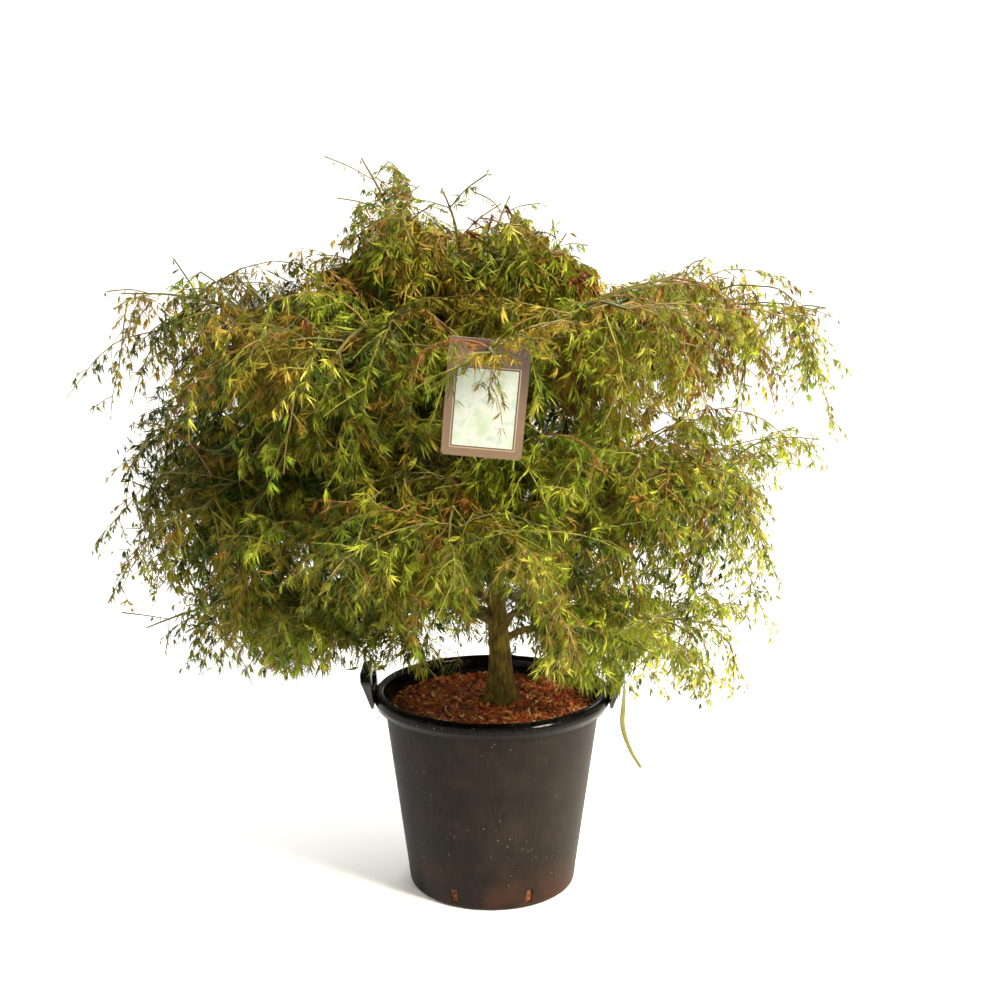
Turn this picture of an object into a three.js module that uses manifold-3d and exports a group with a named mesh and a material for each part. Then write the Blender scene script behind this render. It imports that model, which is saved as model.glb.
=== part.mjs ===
// A cut-leaf Japanese maple of weeping habit, grown in a round black nursery tub.
// Millimetres, +Z up. The origin is the centre of the tub's flat underside, the front faces -Y.
// Every bough and every mass of foliage is worked out from the rings in TIERS below.

import * as THREE from 'three';
import { mergeVertices } from 'three/addons/utils/BufferGeometryUtils.js';
import Module from 'manifold-3d';

const wasm = await Module();
wasm.setup();

// ---------------------------------------------------------------- driving dimensions

const CLEARANCE = 0.3; // kept between pieces that touch

const POT = {
  height: 422,
  baseRadius: 177,
  footRound: 10, // radius of the edge between wall and underside
  mouthRadius: 228, // outside of the wall where it meets the lip
  wall: 3.5,
  floor: 5,
  lipRadius: 247,
  lipDepth: 26,
  lipRound: 8,
  sides: 24,
  slots: 7,
  slotTurn: 90, // degrees: one slot is at the back and two lie on each side of the front
  slotWidth: 14,
  slotHeight: 30,
  slotSill: 12,
};

const HANDLE = {
  width: 130,
  below: 27, // how far its apron hangs below the rim
  above: 51, // how far its grip stands above the rim
  thickness: 22,
  bevel: 3,
  lean: 10, // degrees outward
  innerFace: 246, // distance of its inner face from the tub's axis, at the rim
  gapWidth: 84,
  gapFrom: 8,
  gapTo: 34,
  corner: 26,
};

const STRAP = {
  width: 15,
  tailWidth: 6,
  thickness: 1.5,
  hookRadius: 13.95, // from the middle of the grip to the middle of the strap
  innerLeg: 4,
  y: -38,
  tailForward: 8, // how far the tail lies in front of the hook
  tailInward: 4,
  tailBend: 354, // height where the tail swings outward
  tailEnd: 262,
  tailSwing: 40,
};

const SOIL = { edgeHeight: 388, crownHeight: 398, plateau: 62 };

const TRUNK = {
  foot: new THREE.Vector3(20, 0, SOIL.crownHeight + CLEARANCE),
  bend: new THREE.Vector3(16, 4, 620),
  head: new THREE.Vector3(-22, 6, 905),
  footRadius: 24,
  headRadius: 13,
  flare: 15, // added to the radius at the ground
  flareHeight: 40,
  ridges: 5,
  ridgeShare: 0.22,
  sides: 10,
  steps: 8,
};

// Each tier is a ring of boughs. A ring has a centre, a radius, a height at the centre, a rise
// for each millimetre of x and a lift for each millimetre to the front: its bough tips lie on it.
// fork and forkStep say where the boughs leave the trunk. climb and pitch are degrees: a bough's
// way at the trunk, and at its tip where foliage starts. reach is the length of a mass's stem,
// which changes by reachSlope for each millimetre of x, and steps is the count of its joints.
// middle places the middle of a mass, in shares of its reach: along its stem, and below it.
// leafShare scales its leaves.
const TIERS = [
  {
    name: 'crest', count: 4, turn: 172, centre: [-30, 0], radius: 80, height: 1205,
    rise: -0.1, lift: 0, fork: 820, forkStep: 20, climb: 82, pitch: 68,
    reach: 250, reachSlope: -1.0, steps: 4, droop: 0.06, middle: [0.5, 0],
    leafShare: 0.75, seed: 15,
  },
  {
    name: 'canopy', count: 7, turn: 270 - 180 / 7, centre: [-35, 20], radius: 265, height: 1165,
    rise: 0.12, lift: 0.05, fork: 735, forkStep: 14, climb: 66, pitch: 24,
    reach: 440, reachSlope: -0.06, steps: 5, droop: 0.15, middle: [0.32, 0.1],
    leafShare: 1, seed: 23,
  },
  {
    name: 'middle', count: 7, turn: 270, centre: [-35, 40], radius: 285, height: 895,
    rise: 0, lift: 0.1, fork: 640, forkStep: 13, climb: 52, pitch: 16,
    reach: 385, reachSlope: -0.2, steps: 5, droop: 0.15, middle: [0.4, 0.2],
    leafShare: 1, seed: 37,
  },
  {
    name: 'skirt', count: 6, turn: 0, centre: [-50, 20], radius: 270, height: 572,
    rise: -0.06, lift: 0.36, fork: 522, forkStep: 17, climb: 36, pitch: 10,
    reach: 340, reachSlope: -0.26, steps: 5, droop: 0.15, middle: [0.4, 0.25],
    leafShare: 1, seed: 53,
  },
];

const BOUGH = {
  tipRadius: 5.6,
  baseShare: 0.0105, // added to the radius at the trunk, for each millimetre of span
  climbShare: 0.4, // shares of the span that set how the bough arches
  archShare: 0.3,
  straight: 30, // straight length before the tip
  sides: 5,
  steps: 5,
};

const LABEL = {
  width: 135,
  height: 200,
  thickness: 1.5,
  corner: 7,
  holeRadius: 5.8,
  holeDrop: 13, // from the top edge to the middle of the hole
  hangsAt: new THREE.Vector3(1, -600, 1194),
  roll: 5, // degrees, its foot swung to the left
  kick: 7, // degrees, its foot pushed forward
  boughPast: 14, // how far the bough runs on in front of it
  boughRadius: 4.1,
  fork: 812,
  climb: 66,
  reach: 110,
  steps: 2,
  leafShare: 0.45,
  middle: [0.4, 0.2],
  seed: 71,
};

// How a shoot grows: opposite pairs of side shoots at its joints, all drooping to the tip.
const SHOOT = {
  sideSteps: 2,
  spread: 54, // degrees between a shoot and its side shoots
  spreadSway: 9,
  tumble: 42, // degrees that a pair may roll out of the level
  sideShare: 0.5, // a side shoot's length, in shares of its mass's reach
  sideSway: 0.3,
  shorten: 0.12, // taken off that share at each joint
  sideDroop: 0.2,
  wander: 0.16,
  stemRadius: 7,
  sideRadius: 0.44, // share of the stem's radius where it leaves
  tipRadius: 1.6,
  pairAt: 0.35, // a pair of side shoots leaves this far past a joint, in shares of a step
  leafAt: 0.75,
};

const LEAF = {
  length: 205, // each blade stands for a hanging spray
  width: 72,
  thickness: 7,
  widest: 0.36,
  hang: 0.95, // how strongly it turns down from its shoot's heading
  hangSway: 0.5,
  swing: 0.45,
  lengthSway: 0.4,
  widthSway: 0.4,
  twist: 0.9, // radians
  shorter: [1, 0.78, 0.6], // tried in turn where space is short
};

// The counts that each choice is drawn with, so that no two choices share a number.
const DRAW = { roll: 40, spread: 41, hang: 50, swing: 51, length: 53, width: 54, twist: 55, side: 60 };
const SEED = { mass: 31, joint: 5, side: 101 }; // how seeds differ from piece to piece

// The hem is the underside of the crown: nothing hangs below it. It is low at the sides and
// behind, lifted towards the front, and domed over the space round the trunk.
const HEM = {
  side: 430,
  frontLift: 0.4,
  tilt: 0.04, // lower to the right
  domeCentre: [-110, -40],
  domeRadius: 330,
  domeLift: 170,
  dipCentre: [560, -20],
  dipRadius: 190,
  dipDepth: 170,
};

const ROOM = 1.5; // kept between a twig or leaf and any limb

// The blocks that foliage keeps out of: one round each handle with its strap, one at the label.
const FITTING_ROOM = { aside: 6, outward: 62, inner: 190, above: 14, label: 3 };

const CELL_MARGIN = 0.6; // kept between a mass and the faces of its cell

// ---------------------------------------------------------------- finishes

const FINISH = {
  pot: { color: 0x3a3533, roughness: 0.5, metalness: 0 },
  soil: { color: 0x6b3a22, roughness: 0.95, metalness: 0 },
  bark: { color: 0x6d6040, roughness: 0.8, metalness: 0 },
  foliage: { color: 0x7d8a26, roughness: 0.6, metalness: 0 },
  bronze: { color: 0x8f5a2a, roughness: 0.6, metalness: 0 },
  label: { color: 0xa38564, roughness: 0.4, metalness: 0 },
  strap: { color: 0xa9a13e, roughness: 0.45, metalness: 0 },
};

// ---------------------------------------------------------------- small helpers

const UP = new THREE.Vector3(0, 0, 1);
const radians = (degrees) => THREE.MathUtils.degToRad(degrees);
const around = (degrees) => new THREE.Vector3(1, 0, 0).applyAxisAngle(UP, radians(degrees));

// A repeatable number from 0 to 1 for a seed and a count.
function chance(seed, count) {
  let mix = (Math.imul(seed, 0x9e3779b1) + Math.imul(count + 1, 0x85ebca6b)) | 0;
  mix = Math.imul(mix ^ (mix >>> 15), 0x2c1b3c6d);
  mix = Math.imul(mix ^ (mix >>> 12), 0x297a2d39);
  return ((mix ^ (mix >>> 15)) >>> 0) / 4294967296;
}
const sway = (seed, count) => 2 * chance(seed, count) - 1;

function toSolid(geometry) {
  const bare = geometry.clone();
  bare.deleteAttribute('normal');
  bare.deleteAttribute('uv');
  const merged = mergeVertices(bare, 1e-4);
  const corners = merged.index.array;
  const kept = [];
  for (let i = 0; i < corners.length; i += 3) {
    const [a, b, c] = [corners[i], corners[i + 1], corners[i + 2]];
    if (a !== b && b !== c && c !== a) kept.push(a, b, c);
  }
  return new wasm.Manifold(new wasm.Mesh({
    numProp: 3,
    vertProperties: new Float32Array(merged.attributes.position.array),
    triVerts: new Uint32Array(kept),
  }));
}

// The largest body of a solid: loose scraps and sealed hollows are left behind.
function mainBody(solid) {
  const bodies = solid.decompose();
  return bodies.reduce((best, body) => (body.volume() > best.volume() ? body : best));
}

function toGeometry(solid) {
  const { vertProperties, triVerts } = solid.getMesh();
  const geometry = new THREE.BufferGeometry();
  geometry.setAttribute('position', new THREE.BufferAttribute(new Float32Array(vertProperties), 3));
  geometry.setIndex(new THREE.BufferAttribute(new Uint32Array(triVerts), 1));
  geometry.computeVertexNormals();
  return geometry;
}

const object = new THREE.Group();

function addPiece(name, solid, finish) {
  const mesh = new THREE.Mesh(toGeometry(solid), new THREE.MeshStandardMaterial(finish));
  mesh.name = name;
  object.add(mesh);
}

// A profile of [radius, height] points turned round the Z axis.
function turned(profile, sides) {
  const points = profile.map(([radius, height]) => new THREE.Vector2(radius, height));
  return toSolid(new THREE.LatheGeometry(points, sides).rotateX(Math.PI / 2));
}

// A tapering stick through rings of { at, radius }: a cylinder whose rings are set across them.
// A ring lies across its neighbours, or across its own along. One with a depth is flat, and its
// radius is then its half breadth.
function stick(rings, sides, across) {
  const steps = rings.length - 1;
  const geometry = new THREE.CylinderGeometry(1, 1, 1, sides, steps);
  const place = geometry.attributes.position;
  const frames = rings.map((ring, i) => {
    const before = rings[Math.max(i - 1, 0)].at;
    const after = rings[Math.min(i + 1, steps)].at;
    const along = ring.along ?? after.clone().sub(before).normalize();
    const side = across.clone().addScaledVector(along, -across.dot(along)).normalize();
    return { side, other: side.clone().cross(along) };
  });
  for (let i = 0; i < place.count; i += 1) {
    const step = Math.round((place.getY(i) + 0.5) * steps);
    const { side, other } = frames[step];
    const { at, radius, depth } = rings[step];
    const width = typeof radius === 'function' ? radius(place.getX(i), place.getZ(i)) : radius;
    const point = at.clone()
      .addScaledVector(side, place.getX(i) * width)
      .addScaledVector(other, place.getZ(i) * (depth ?? width));
    place.setXYZ(i, point.x, point.y, point.z);
  }
  return toSolid(geometry);
}

function distanceToSegment(point, from, to) {
  const line = new THREE.Line3(from, to);
  const share = line.closestPointToPointParameter(point, true);
  return { share, distance: line.at(share, new THREE.Vector3()).distanceTo(point) };
}

// ---------------------------------------------------------------- tub, handles, soil

function wallRadius(height) {
  const share = (height - POT.footRound) / (POT.height - POT.lipDepth - POT.footRound);
  return THREE.MathUtils.lerp(POT.baseRadius, POT.mouthRadius, share);
}

function arc(centre, radius, from, to, steps) {
  return Array.from({ length: steps + 1 }, (_, i) => {
    const angle = radians(THREE.MathUtils.lerp(from, to, i / steps));
    return [centre[0] + radius * Math.cos(angle), centre[1] + radius * Math.sin(angle)];
  });
}

function buildPot() {
  const { height, lipRadius, lipDepth, lipRound, wall, floor, footRound, baseRadius } = POT;
  const lipFoot = height - lipDepth;
  const shell = turned([
    [0, 0],
    ...arc([baseRadius - footRound, footRound], footRound, -90, 0, 2),
    [wallRadius(lipFoot), lipFoot],
    [wallRadius(height - wall), height - wall],
    [lipRadius - wall, height - wall],
    [lipRadius - wall, lipFoot],
    [lipRadius, lipFoot],
    ...arc([lipRadius - lipRound, height - lipRound], lipRound, 0, 90, 2),
    ...arc([wallRadius(height) + wall, height - 2 * wall], 2 * wall, 90, 180, 1),
    [wallRadius(floor) - wall, floor],
    [0, floor],
  ], POT.sides);
  let pot = shell;
  for (let i = 0; i < POT.slots; i += 1) {
    const slot = new THREE.BoxGeometry(4 * footRound, POT.slotWidth, POT.slotHeight)
      .translate(baseRadius, 0, POT.slotSill + POT.slotHeight / 2)
      .rotateZ(radians(POT.slotTurn + i * (360 / POT.slots)));
    pot = pot.subtract(toSolid(slot));
  }
  return pot;
}

function handleShape() {
  const { width, below, above, corner, gapWidth, gapFrom, gapTo } = HANDLE;
  const half = width / 2;
  const shape = new THREE.Shape();
  shape.moveTo(-half + corner / 2, -below);
  shape.lineTo(half - corner / 2, -below);
  shape.lineTo(half, -below + corner / 2);
  shape.lineTo(half, above - corner);
  shape.absarc(half - corner, above - corner, corner, 0, Math.PI / 2, false);
  shape.absarc(corner - half, above - corner, corner, Math.PI / 2, Math.PI, false);
  shape.lineTo(-half, -below + corner / 2);
  shape.closePath();
  const gap = new THREE.Path();
  const round = (gapTo - gapFrom) / 2;
  gap.absarc(gapWidth / 2 - round, gapFrom + round, round, Math.PI / 2, -Math.PI / 2, true);
  gap.absarc(round - gapWidth / 2, gapFrom + round, round, -Math.PI / 2, -3 * Math.PI / 2, true);
  shape.holes.push(gap);
  return shape;
}

function buildHandle(turn) {
  const { thickness, bevel, lean, innerFace } = HANDLE;
  const plate = new THREE.ExtrudeGeometry(handleShape(), {
    depth: thickness - 2 * bevel,
    bevelThickness: bevel,
    bevelSize: bevel,
    bevelOffset: -bevel,
    bevelSegments: 1,
    curveSegments: 3,
  })
    .translate(0, 0, bevel)
    .rotateX(Math.PI / 2)
    .rotateZ(Math.PI / 2)
    .rotateY(radians(lean))
    .translate(innerFace, 0, POT.height)
    .rotateZ(radians(turn));
  const rimRoom = turned([
    [0, 0],
    [POT.lipRadius + CLEARANCE, 0],
    [POT.lipRadius + CLEARANCE, POT.height + CLEARANCE],
    [0, POT.height + CLEARANCE],
  ], POT.sides);
  return mainBody(toSolid(plate).subtract(rimRoom));
}

function gripCentre() {
  const { innerFace, thickness, gapTo, above, lean } = HANDLE;
  const outward = thickness / 2;
  const upward = (gapTo + above) / 2;
  const tilt = radians(lean);
  return new THREE.Vector3(
    innerFace + outward * Math.cos(tilt) + upward * Math.sin(tilt),
    STRAP.y,
    POT.height + upward * Math.cos(tilt) - outward * Math.sin(tilt),
  );
}

// A stiff plastic strap hooked over the right grip. It lies flat on the grip, and its tail
// turns its face to the front and narrows to its end.
function buildStrap() {
  const { width, tailWidth, thickness, hookRadius, innerLeg } = STRAP;
  const { tailForward, tailInward, tailBend, tailEnd, tailSwing } = STRAP;
  const grip = gripCentre();
  const hook = Array.from({ length: 7 }, (_, i) => {
    const angle = radians(180 - i * 30);
    return new THREE.Vector3(Math.cos(angle), 0, Math.sin(angle))
      .multiplyScalar(hookRadius)
      .add(grip);
  });
  const outer = hook[hook.length - 1];
  const bend = new THREE.Vector3(outer.x - tailInward, outer.y - tailForward, tailBend);
  const end = new THREE.Vector3(bend.x + tailSwing, bend.y, tailEnd);
  const sag = new THREE.Vector3(-tailSwing, 0, tailEnd - tailBend).multiplyScalar(0.07);
  const spine = [
    hook[0].clone().add(new THREE.Vector3(0, 0, -innerLeg)),
    ...hook,
    outer.clone().lerp(bend, 0.5),
    bend,
    bend.clone().lerp(end, 0.5).add(sag),
    end,
  ];
  const lastHook = hook.length;
  const geometry = new THREE.BoxGeometry(1, 1, 1, 1, spine.length - 1, 1);
  const place = geometry.attributes.position;
  const steps = spine.length - 1;
  for (let i = 0; i < place.count; i += 1) {
    const step = Math.round((place.getY(i) + 0.5) * steps);
    const along = spine[Math.min(step + 1, steps)].clone()
      .sub(spine[Math.max(step - 1, 0)]).normalize();
    const tail = THREE.MathUtils.clamp((step - lastHook) / (steps - lastHook), 0, 1);
    const turn = Math.min(tail * 2, 1) * (Math.PI / 2);
    const face = new THREE.Vector3(0, 1, 0).applyAxisAngle(along, turn);
    face.addScaledVector(along, -face.dot(along)).normalize();
    const normal = face.clone().cross(along);
    const point = spine[step].clone()
      .addScaledVector(face, place.getX(i) * THREE.MathUtils.lerp(width, tailWidth, tail))
      .addScaledVector(normal, place.getZ(i) * thickness);
    place.setXYZ(i, point.x, point.y, point.z);
  }
  return toSolid(geometry);
}

function buildSoil() {
  const inside = (height) => wallRadius(height) - POT.wall - 1.4 * CLEARANCE;
  const bottom = POT.floor + CLEARANCE;
  return turned([
    [0, bottom],
    [inside(bottom), bottom],
    [inside(SOIL.edgeHeight), SOIL.edgeHeight],
    [(inside(SOIL.edgeHeight) + SOIL.plateau) / 2, (SOIL.edgeHeight + 2 * SOIL.crownHeight) / 3],
    [SOIL.plateau, SOIL.crownHeight],
    [0, SOIL.crownHeight],
  ], POT.sides);
}

// ---------------------------------------------------------------- trunk and boughs

const trunkLine = new THREE.QuadraticBezierCurve3(TRUNK.foot, TRUNK.bend, TRUNK.head);

function trunkRadius(share) {
  const height = share * (TRUNK.head.z - TRUNK.foot.z);
  const taper = THREE.MathUtils.lerp(TRUNK.footRadius, TRUNK.headRadius, share);
  return taper + TRUNK.flare * Math.exp(-height / TRUNK.flareHeight);
}

function buildTrunk(grow) {
  const rings = Array.from({ length: TRUNK.steps + 1 }, (_, i) => {
    const share = (i / TRUNK.steps) ** 1.7;
    const at = trunkLine.getPoint(share);
    const base = trunkRadius(share) + grow;
    const ridge = TRUNK.ridgeShare * Math.exp((TRUNK.foot.z - at.z) / TRUNK.flareHeight);
    const radius = (x, z) => base * (1 + ridge * Math.cos(TRUNK.ridges * Math.atan2(x, z)));
    return { at, radius };
  });
  const trunk = stick(rings, TRUNK.sides, new THREE.Vector3(1, 0, 0));
  const lowest = TRUNK.foot.z - grow;
  const { z } = TRUNK.head;
  const aboveGround = new THREE.BoxGeometry(z, z, 2 * z).translate(0, 0, lowest + z);
  return trunk.intersect(toSolid(aboveGround));
}

function trunkPointAt(height) {
  let share = 0;
  while (trunkLine.getPoint(share).z < height) share += 0.005;
  return trunkLine.getPoint(share);
}

// A bough rises from inside the trunk, arches over and runs straight to its tip, where its
// foliage begins.
function planBough(name, fork, tip, heading, climb, tipRadius) {
  const from = trunkPointAt(fork);
  const span = from.distanceTo(tip);
  const out = tip.clone().sub(from).setZ(0).normalize();
  const start = out.clone().multiplyScalar(Math.cos(radians(climb)))
    .addScaledVector(UP, Math.sin(radians(climb)));
  const bendEnd = tip.clone().addScaledVector(heading, -BOUGH.straight);
  const line = new THREE.CubicBezierCurve3(
    from,
    from.clone().addScaledVector(start, BOUGH.climbShare * span),
    bendEnd.clone().addScaledVector(heading, -BOUGH.archShare * span),
    bendEnd,
  );
  const baseRadius = tipRadius + BOUGH.baseShare * span;
  const points = [...line.getPoints(BOUGH.steps - 1), tip];
  const radii = points.map((_, i) => THREE.MathUtils.lerp(baseRadius, tipRadius, i / BOUGH.steps));
  return { name, points, radii, tip, heading, across: out.clone().cross(UP) };
}

function buildBough(bough, grow) {
  const rings = bough.points.map((at, i) => ({ at: at.clone(), radius: bough.radii[i] + grow }));
  const end = rings[rings.length - 1];
  end.at.addScaledVector(bough.heading, grow);
  end.along = bough.heading;
  return stick(rings, BOUGH.sides, bough.across);
}

// ---------------------------------------------------------------- where the masses stand

function planCrown() {
  const plan = [];
  for (const tier of TIERS) {
    for (let i = 0; i < tier.count; i += 1) {
      const turn = tier.turn + (i * 360) / tier.count;
      const out = around(turn);
      const x = tier.centre[0] + tier.radius * out.x;
      const y = tier.centre[1] + tier.radius * out.y;
      const z = tier.height + tier.rise * x + tier.lift * Math.max(0, -y);
      const heading = out.clone().multiplyScalar(Math.cos(radians(tier.pitch)))
        .addScaledVector(UP, Math.sin(radians(tier.pitch)));
      const fork = tier.fork + ((i * 5) % tier.count) * tier.forkStep;
      const tip = new THREE.Vector3(x, y, z);
      const name = `${tier.name}_${i + 1}`;
      plan.push({
        name,
        finish: tier.name === 'crest' ? FINISH.bronze : FINISH.foliage,
        bough: planBough(name, fork, tip, heading, tier.climb, BOUGH.tipRadius),
        reach: tier.reach + tier.reachSlope * x,
        steps: tier.steps,
        droop: tier.droop,
        middle: tier.middle,
        leafShare: tier.leafShare,
        seed: tier.seed + 7 * i,
      });
    }
  }
  const front = new THREE.Vector3(0, -1, 0);
  const tip = LABEL.hangsAt.clone().addScaledVector(front, LABEL.boughPast);
  plan.push({
    name: 'front',
    finish: FINISH.foliage,
    bough: planBough('front', LABEL.fork, tip, front, LABEL.climb, LABEL.boughRadius),
    reach: LABEL.reach,
    steps: LABEL.steps,
    droop: SHOOT.sideDroop,
    middle: LABEL.middle,
    leafShare: LABEL.leafShare,
    seed: LABEL.seed,
  });
  return plan;
}

// ---------------------------------------------------------------- how a mass grows

// The joints of a shoot: it sets out straight, then droops and wanders on its way to the tip.
function growChain(seed, from, heading, length, steps, droop) {
  const joints = [from.clone()];
  const headings = [heading.clone()];
  const way = heading.clone();
  for (let i = 1; i <= steps; i += 1) {
    if (i > 1) {
      way.x += SHOOT.wander * sway(seed, 3 * i);
      way.y += SHOOT.wander * sway(seed, 3 * i + 1);
      way.z += SHOOT.wander * sway(seed, 3 * i + 2) - droop;
      way.normalize();
    }
    joints.push(joints[i - 1].clone().addScaledVector(way, length / steps));
    headings.push(way.clone());
  }
  return { joints, headings };
}

// The two headings of an opposite pair of side shoots.
function sideHeadings(seed, heading) {
  const level = heading.clone().cross(UP).normalize();
  const roll = radians(SHOOT.tumble) * sway(seed, DRAW.roll);
  const across = level.applyAxisAngle(heading, roll);
  const spread = radians(SHOOT.spread + SHOOT.spreadSway * sway(seed, DRAW.spread));
  return [1, -1].map((hand) => heading.clone().multiplyScalar(Math.cos(spread))
    .addScaledVector(across, hand * Math.sin(spread)));
}

// A leaf blade hangs out and down from its joint: an octahedron drawn out flat.
function planLeaf(seed, root, heading, size) {
  const drop = LEAF.hang + LEAF.hangSway * chance(seed, DRAW.hang);
  const way = heading.clone().addScaledVector(UP, -drop);
  way.x += LEAF.swing * sway(seed, DRAW.swing);
  way.y += LEAF.swing * sway(seed, DRAW.swing + 1);
  way.normalize();
  const length = size * LEAF.length * (0.75 + LEAF.lengthSway * chance(seed, DRAW.length));
  const width = size * LEAF.width * (0.8 + LEAF.widthSway * chance(seed, DRAW.width));
  const level = way.clone().cross(UP).normalize();
  const across = level.applyAxisAngle(way, LEAF.twist * sway(seed, DRAW.twist));
  const face = across.clone().cross(way);
  const middle = root.clone().addScaledVector(way, LEAF.widest * length);
  return {
    root: root.clone(),
    middle,
    tip: root.clone().addScaledVector(way, length),
    width,
    corners: [
      middle.clone().addScaledVector(across, width / 2),
      middle.clone().addScaledVector(across, -width / 2),
      middle.clone().addScaledVector(face, LEAF.thickness / 2),
      middle.clone().addScaledVector(face, -LEAF.thickness / 2),
    ],
    across,
    face,
  };
}

function buildLeaf(leaf) {
  const geometry = new THREE.OctahedronGeometry(1);
  const place = geometry.attributes.position;
  const [left, right, top, bottom] = leaf.corners;
  for (let i = 0; i < place.count; i += 1) {
    const [x, y, z] = [place.getX(i), place.getY(i), place.getZ(i)];
    let point = x > 0.5 ? left : right;
    if (Math.abs(y) > 0.5) point = y > 0 ? leaf.tip : leaf.root;
    if (Math.abs(z) > 0.5) point = z > 0 ? top : bottom;
    place.setXYZ(i, point.x, point.y, point.z);
  }
  return toSolid(geometry);
}

// ---------------------------------------------------------------- the space a mass may use

function hemAt(x, y) {
  const [cx, cy] = HEM.domeCentre;
  const share = Math.hypot(x - cx, y - cy) / HEM.domeRadius;
  const dome = share < 1 ? HEM.domeLift * (1 - share * share) : 0;
  const away = Math.hypot(x - HEM.dipCentre[0], y - HEM.dipCentre[1]) / HEM.dipRadius;
  const dip = away < 1 ? HEM.dipDepth * (1 - away * away) : 0;
  return HEM.side - HEM.tilt * x + HEM.frontLift * Math.max(0, -y) + dome - dip;
}

function labelFrame() {
  const frame = new THREE.Object3D();
  frame.position.copy(LABEL.hangsAt);
  frame.rotation.set(radians(LABEL.kick), radians(LABEL.roll), 0, 'YXZ');
  frame.updateMatrixWorld();
  return frame;
}
const labelPlace = labelFrame();

// True where a ball of this radius would touch the tub, a handle, the strap or the label.
function touchesFittings(point, radius) {
  const away = Math.hypot(point.x, point.y);
  if (away < POT.lipRadius + radius && point.z < POT.height + radius) return true;
  const byHandle = Math.abs(point.y) < HANDLE.width / 2 + FITTING_ROOM.aside + radius
    && Math.abs(point.x) < HANDLE.innerFace + FITTING_ROOM.outward + radius
    && Math.abs(point.x) > FITTING_ROOM.inner;
  const handleTop = POT.height + HANDLE.above + FITTING_ROOM.above;
  if (byHandle && point.z < handleTop + radius) return true;
  const local = labelPlace.worldToLocal(point.clone());
  const middle = LABEL.holeDrop - LABEL.height / 2;
  const room = FITTING_ROOM.label + radius;
  return Math.abs(local.x) < LABEL.width / 2 + room
    && Math.abs(local.z - middle) < LABEL.height / 2 + room
    && Math.abs(local.y) < LABEL.thickness + room;
}

function touchesLimb(limbs, point, radius) {
  return limbs.some(({ points, radii }) => points.slice(1).some((to, i) => {
    const { share, distance } = distanceToSegment(point, points[i], to);
    return distance < THREE.MathUtils.lerp(radii[i], radii[i + 1], share) + radius + ROOM;
  }));
}

function insideCell(cell, point) {
  if (point.z < hemAt(point.x, point.y)) return false;
  return cell.planes.every(({ normal, constant }) => normal.dot(point) < constant - CELL_MARGIN);
}

// Each mass keeps to the points that are nearer to its own middle than to any other's.
function cellOf(middles, index) {
  const own = middles[index];
  const planes = middles.filter((_, i) => i !== index).map((other) => {
    const normal = other.clone().sub(own).normalize();
    return { normal, constant: normal.dot(other.clone().add(own).multiplyScalar(0.5)) };
  });
  return { planes };
}

function stickFits(cell, limbs, from, to, radius) {
  const samples = 6;
  for (let i = 0; i <= samples; i += 1) {
    const point = from.clone().lerp(to, i / samples);
    if (touchesLimb(limbs, point, radius) || touchesFittings(point, radius)) return false;
  }
  return insideCell(cell, from) && insideCell(cell, to);
}

function leafFits(cell, limbs, leaf) {
  if (![leaf.tip, ...leaf.corners].every((corner) => insideCell(cell, corner))) return false;
  const samples = 8;
  for (let i = 0; i <= samples; i += 1) {
    const share = i / samples;
    const breadth = share < LEAF.widest ? share / LEAF.widest : (1 - share) / (1 - LEAF.widest);
    const half = Math.max(2, (breadth * leaf.width) / 2);
    const point = leaf.root.clone().lerp(leaf.tip, share);
    if (touchesLimb(limbs, point, half) || touchesFittings(point, half)) return false;
  }
  return true;
}

// ---------------------------------------------------------------- a mass of foliage

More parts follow.
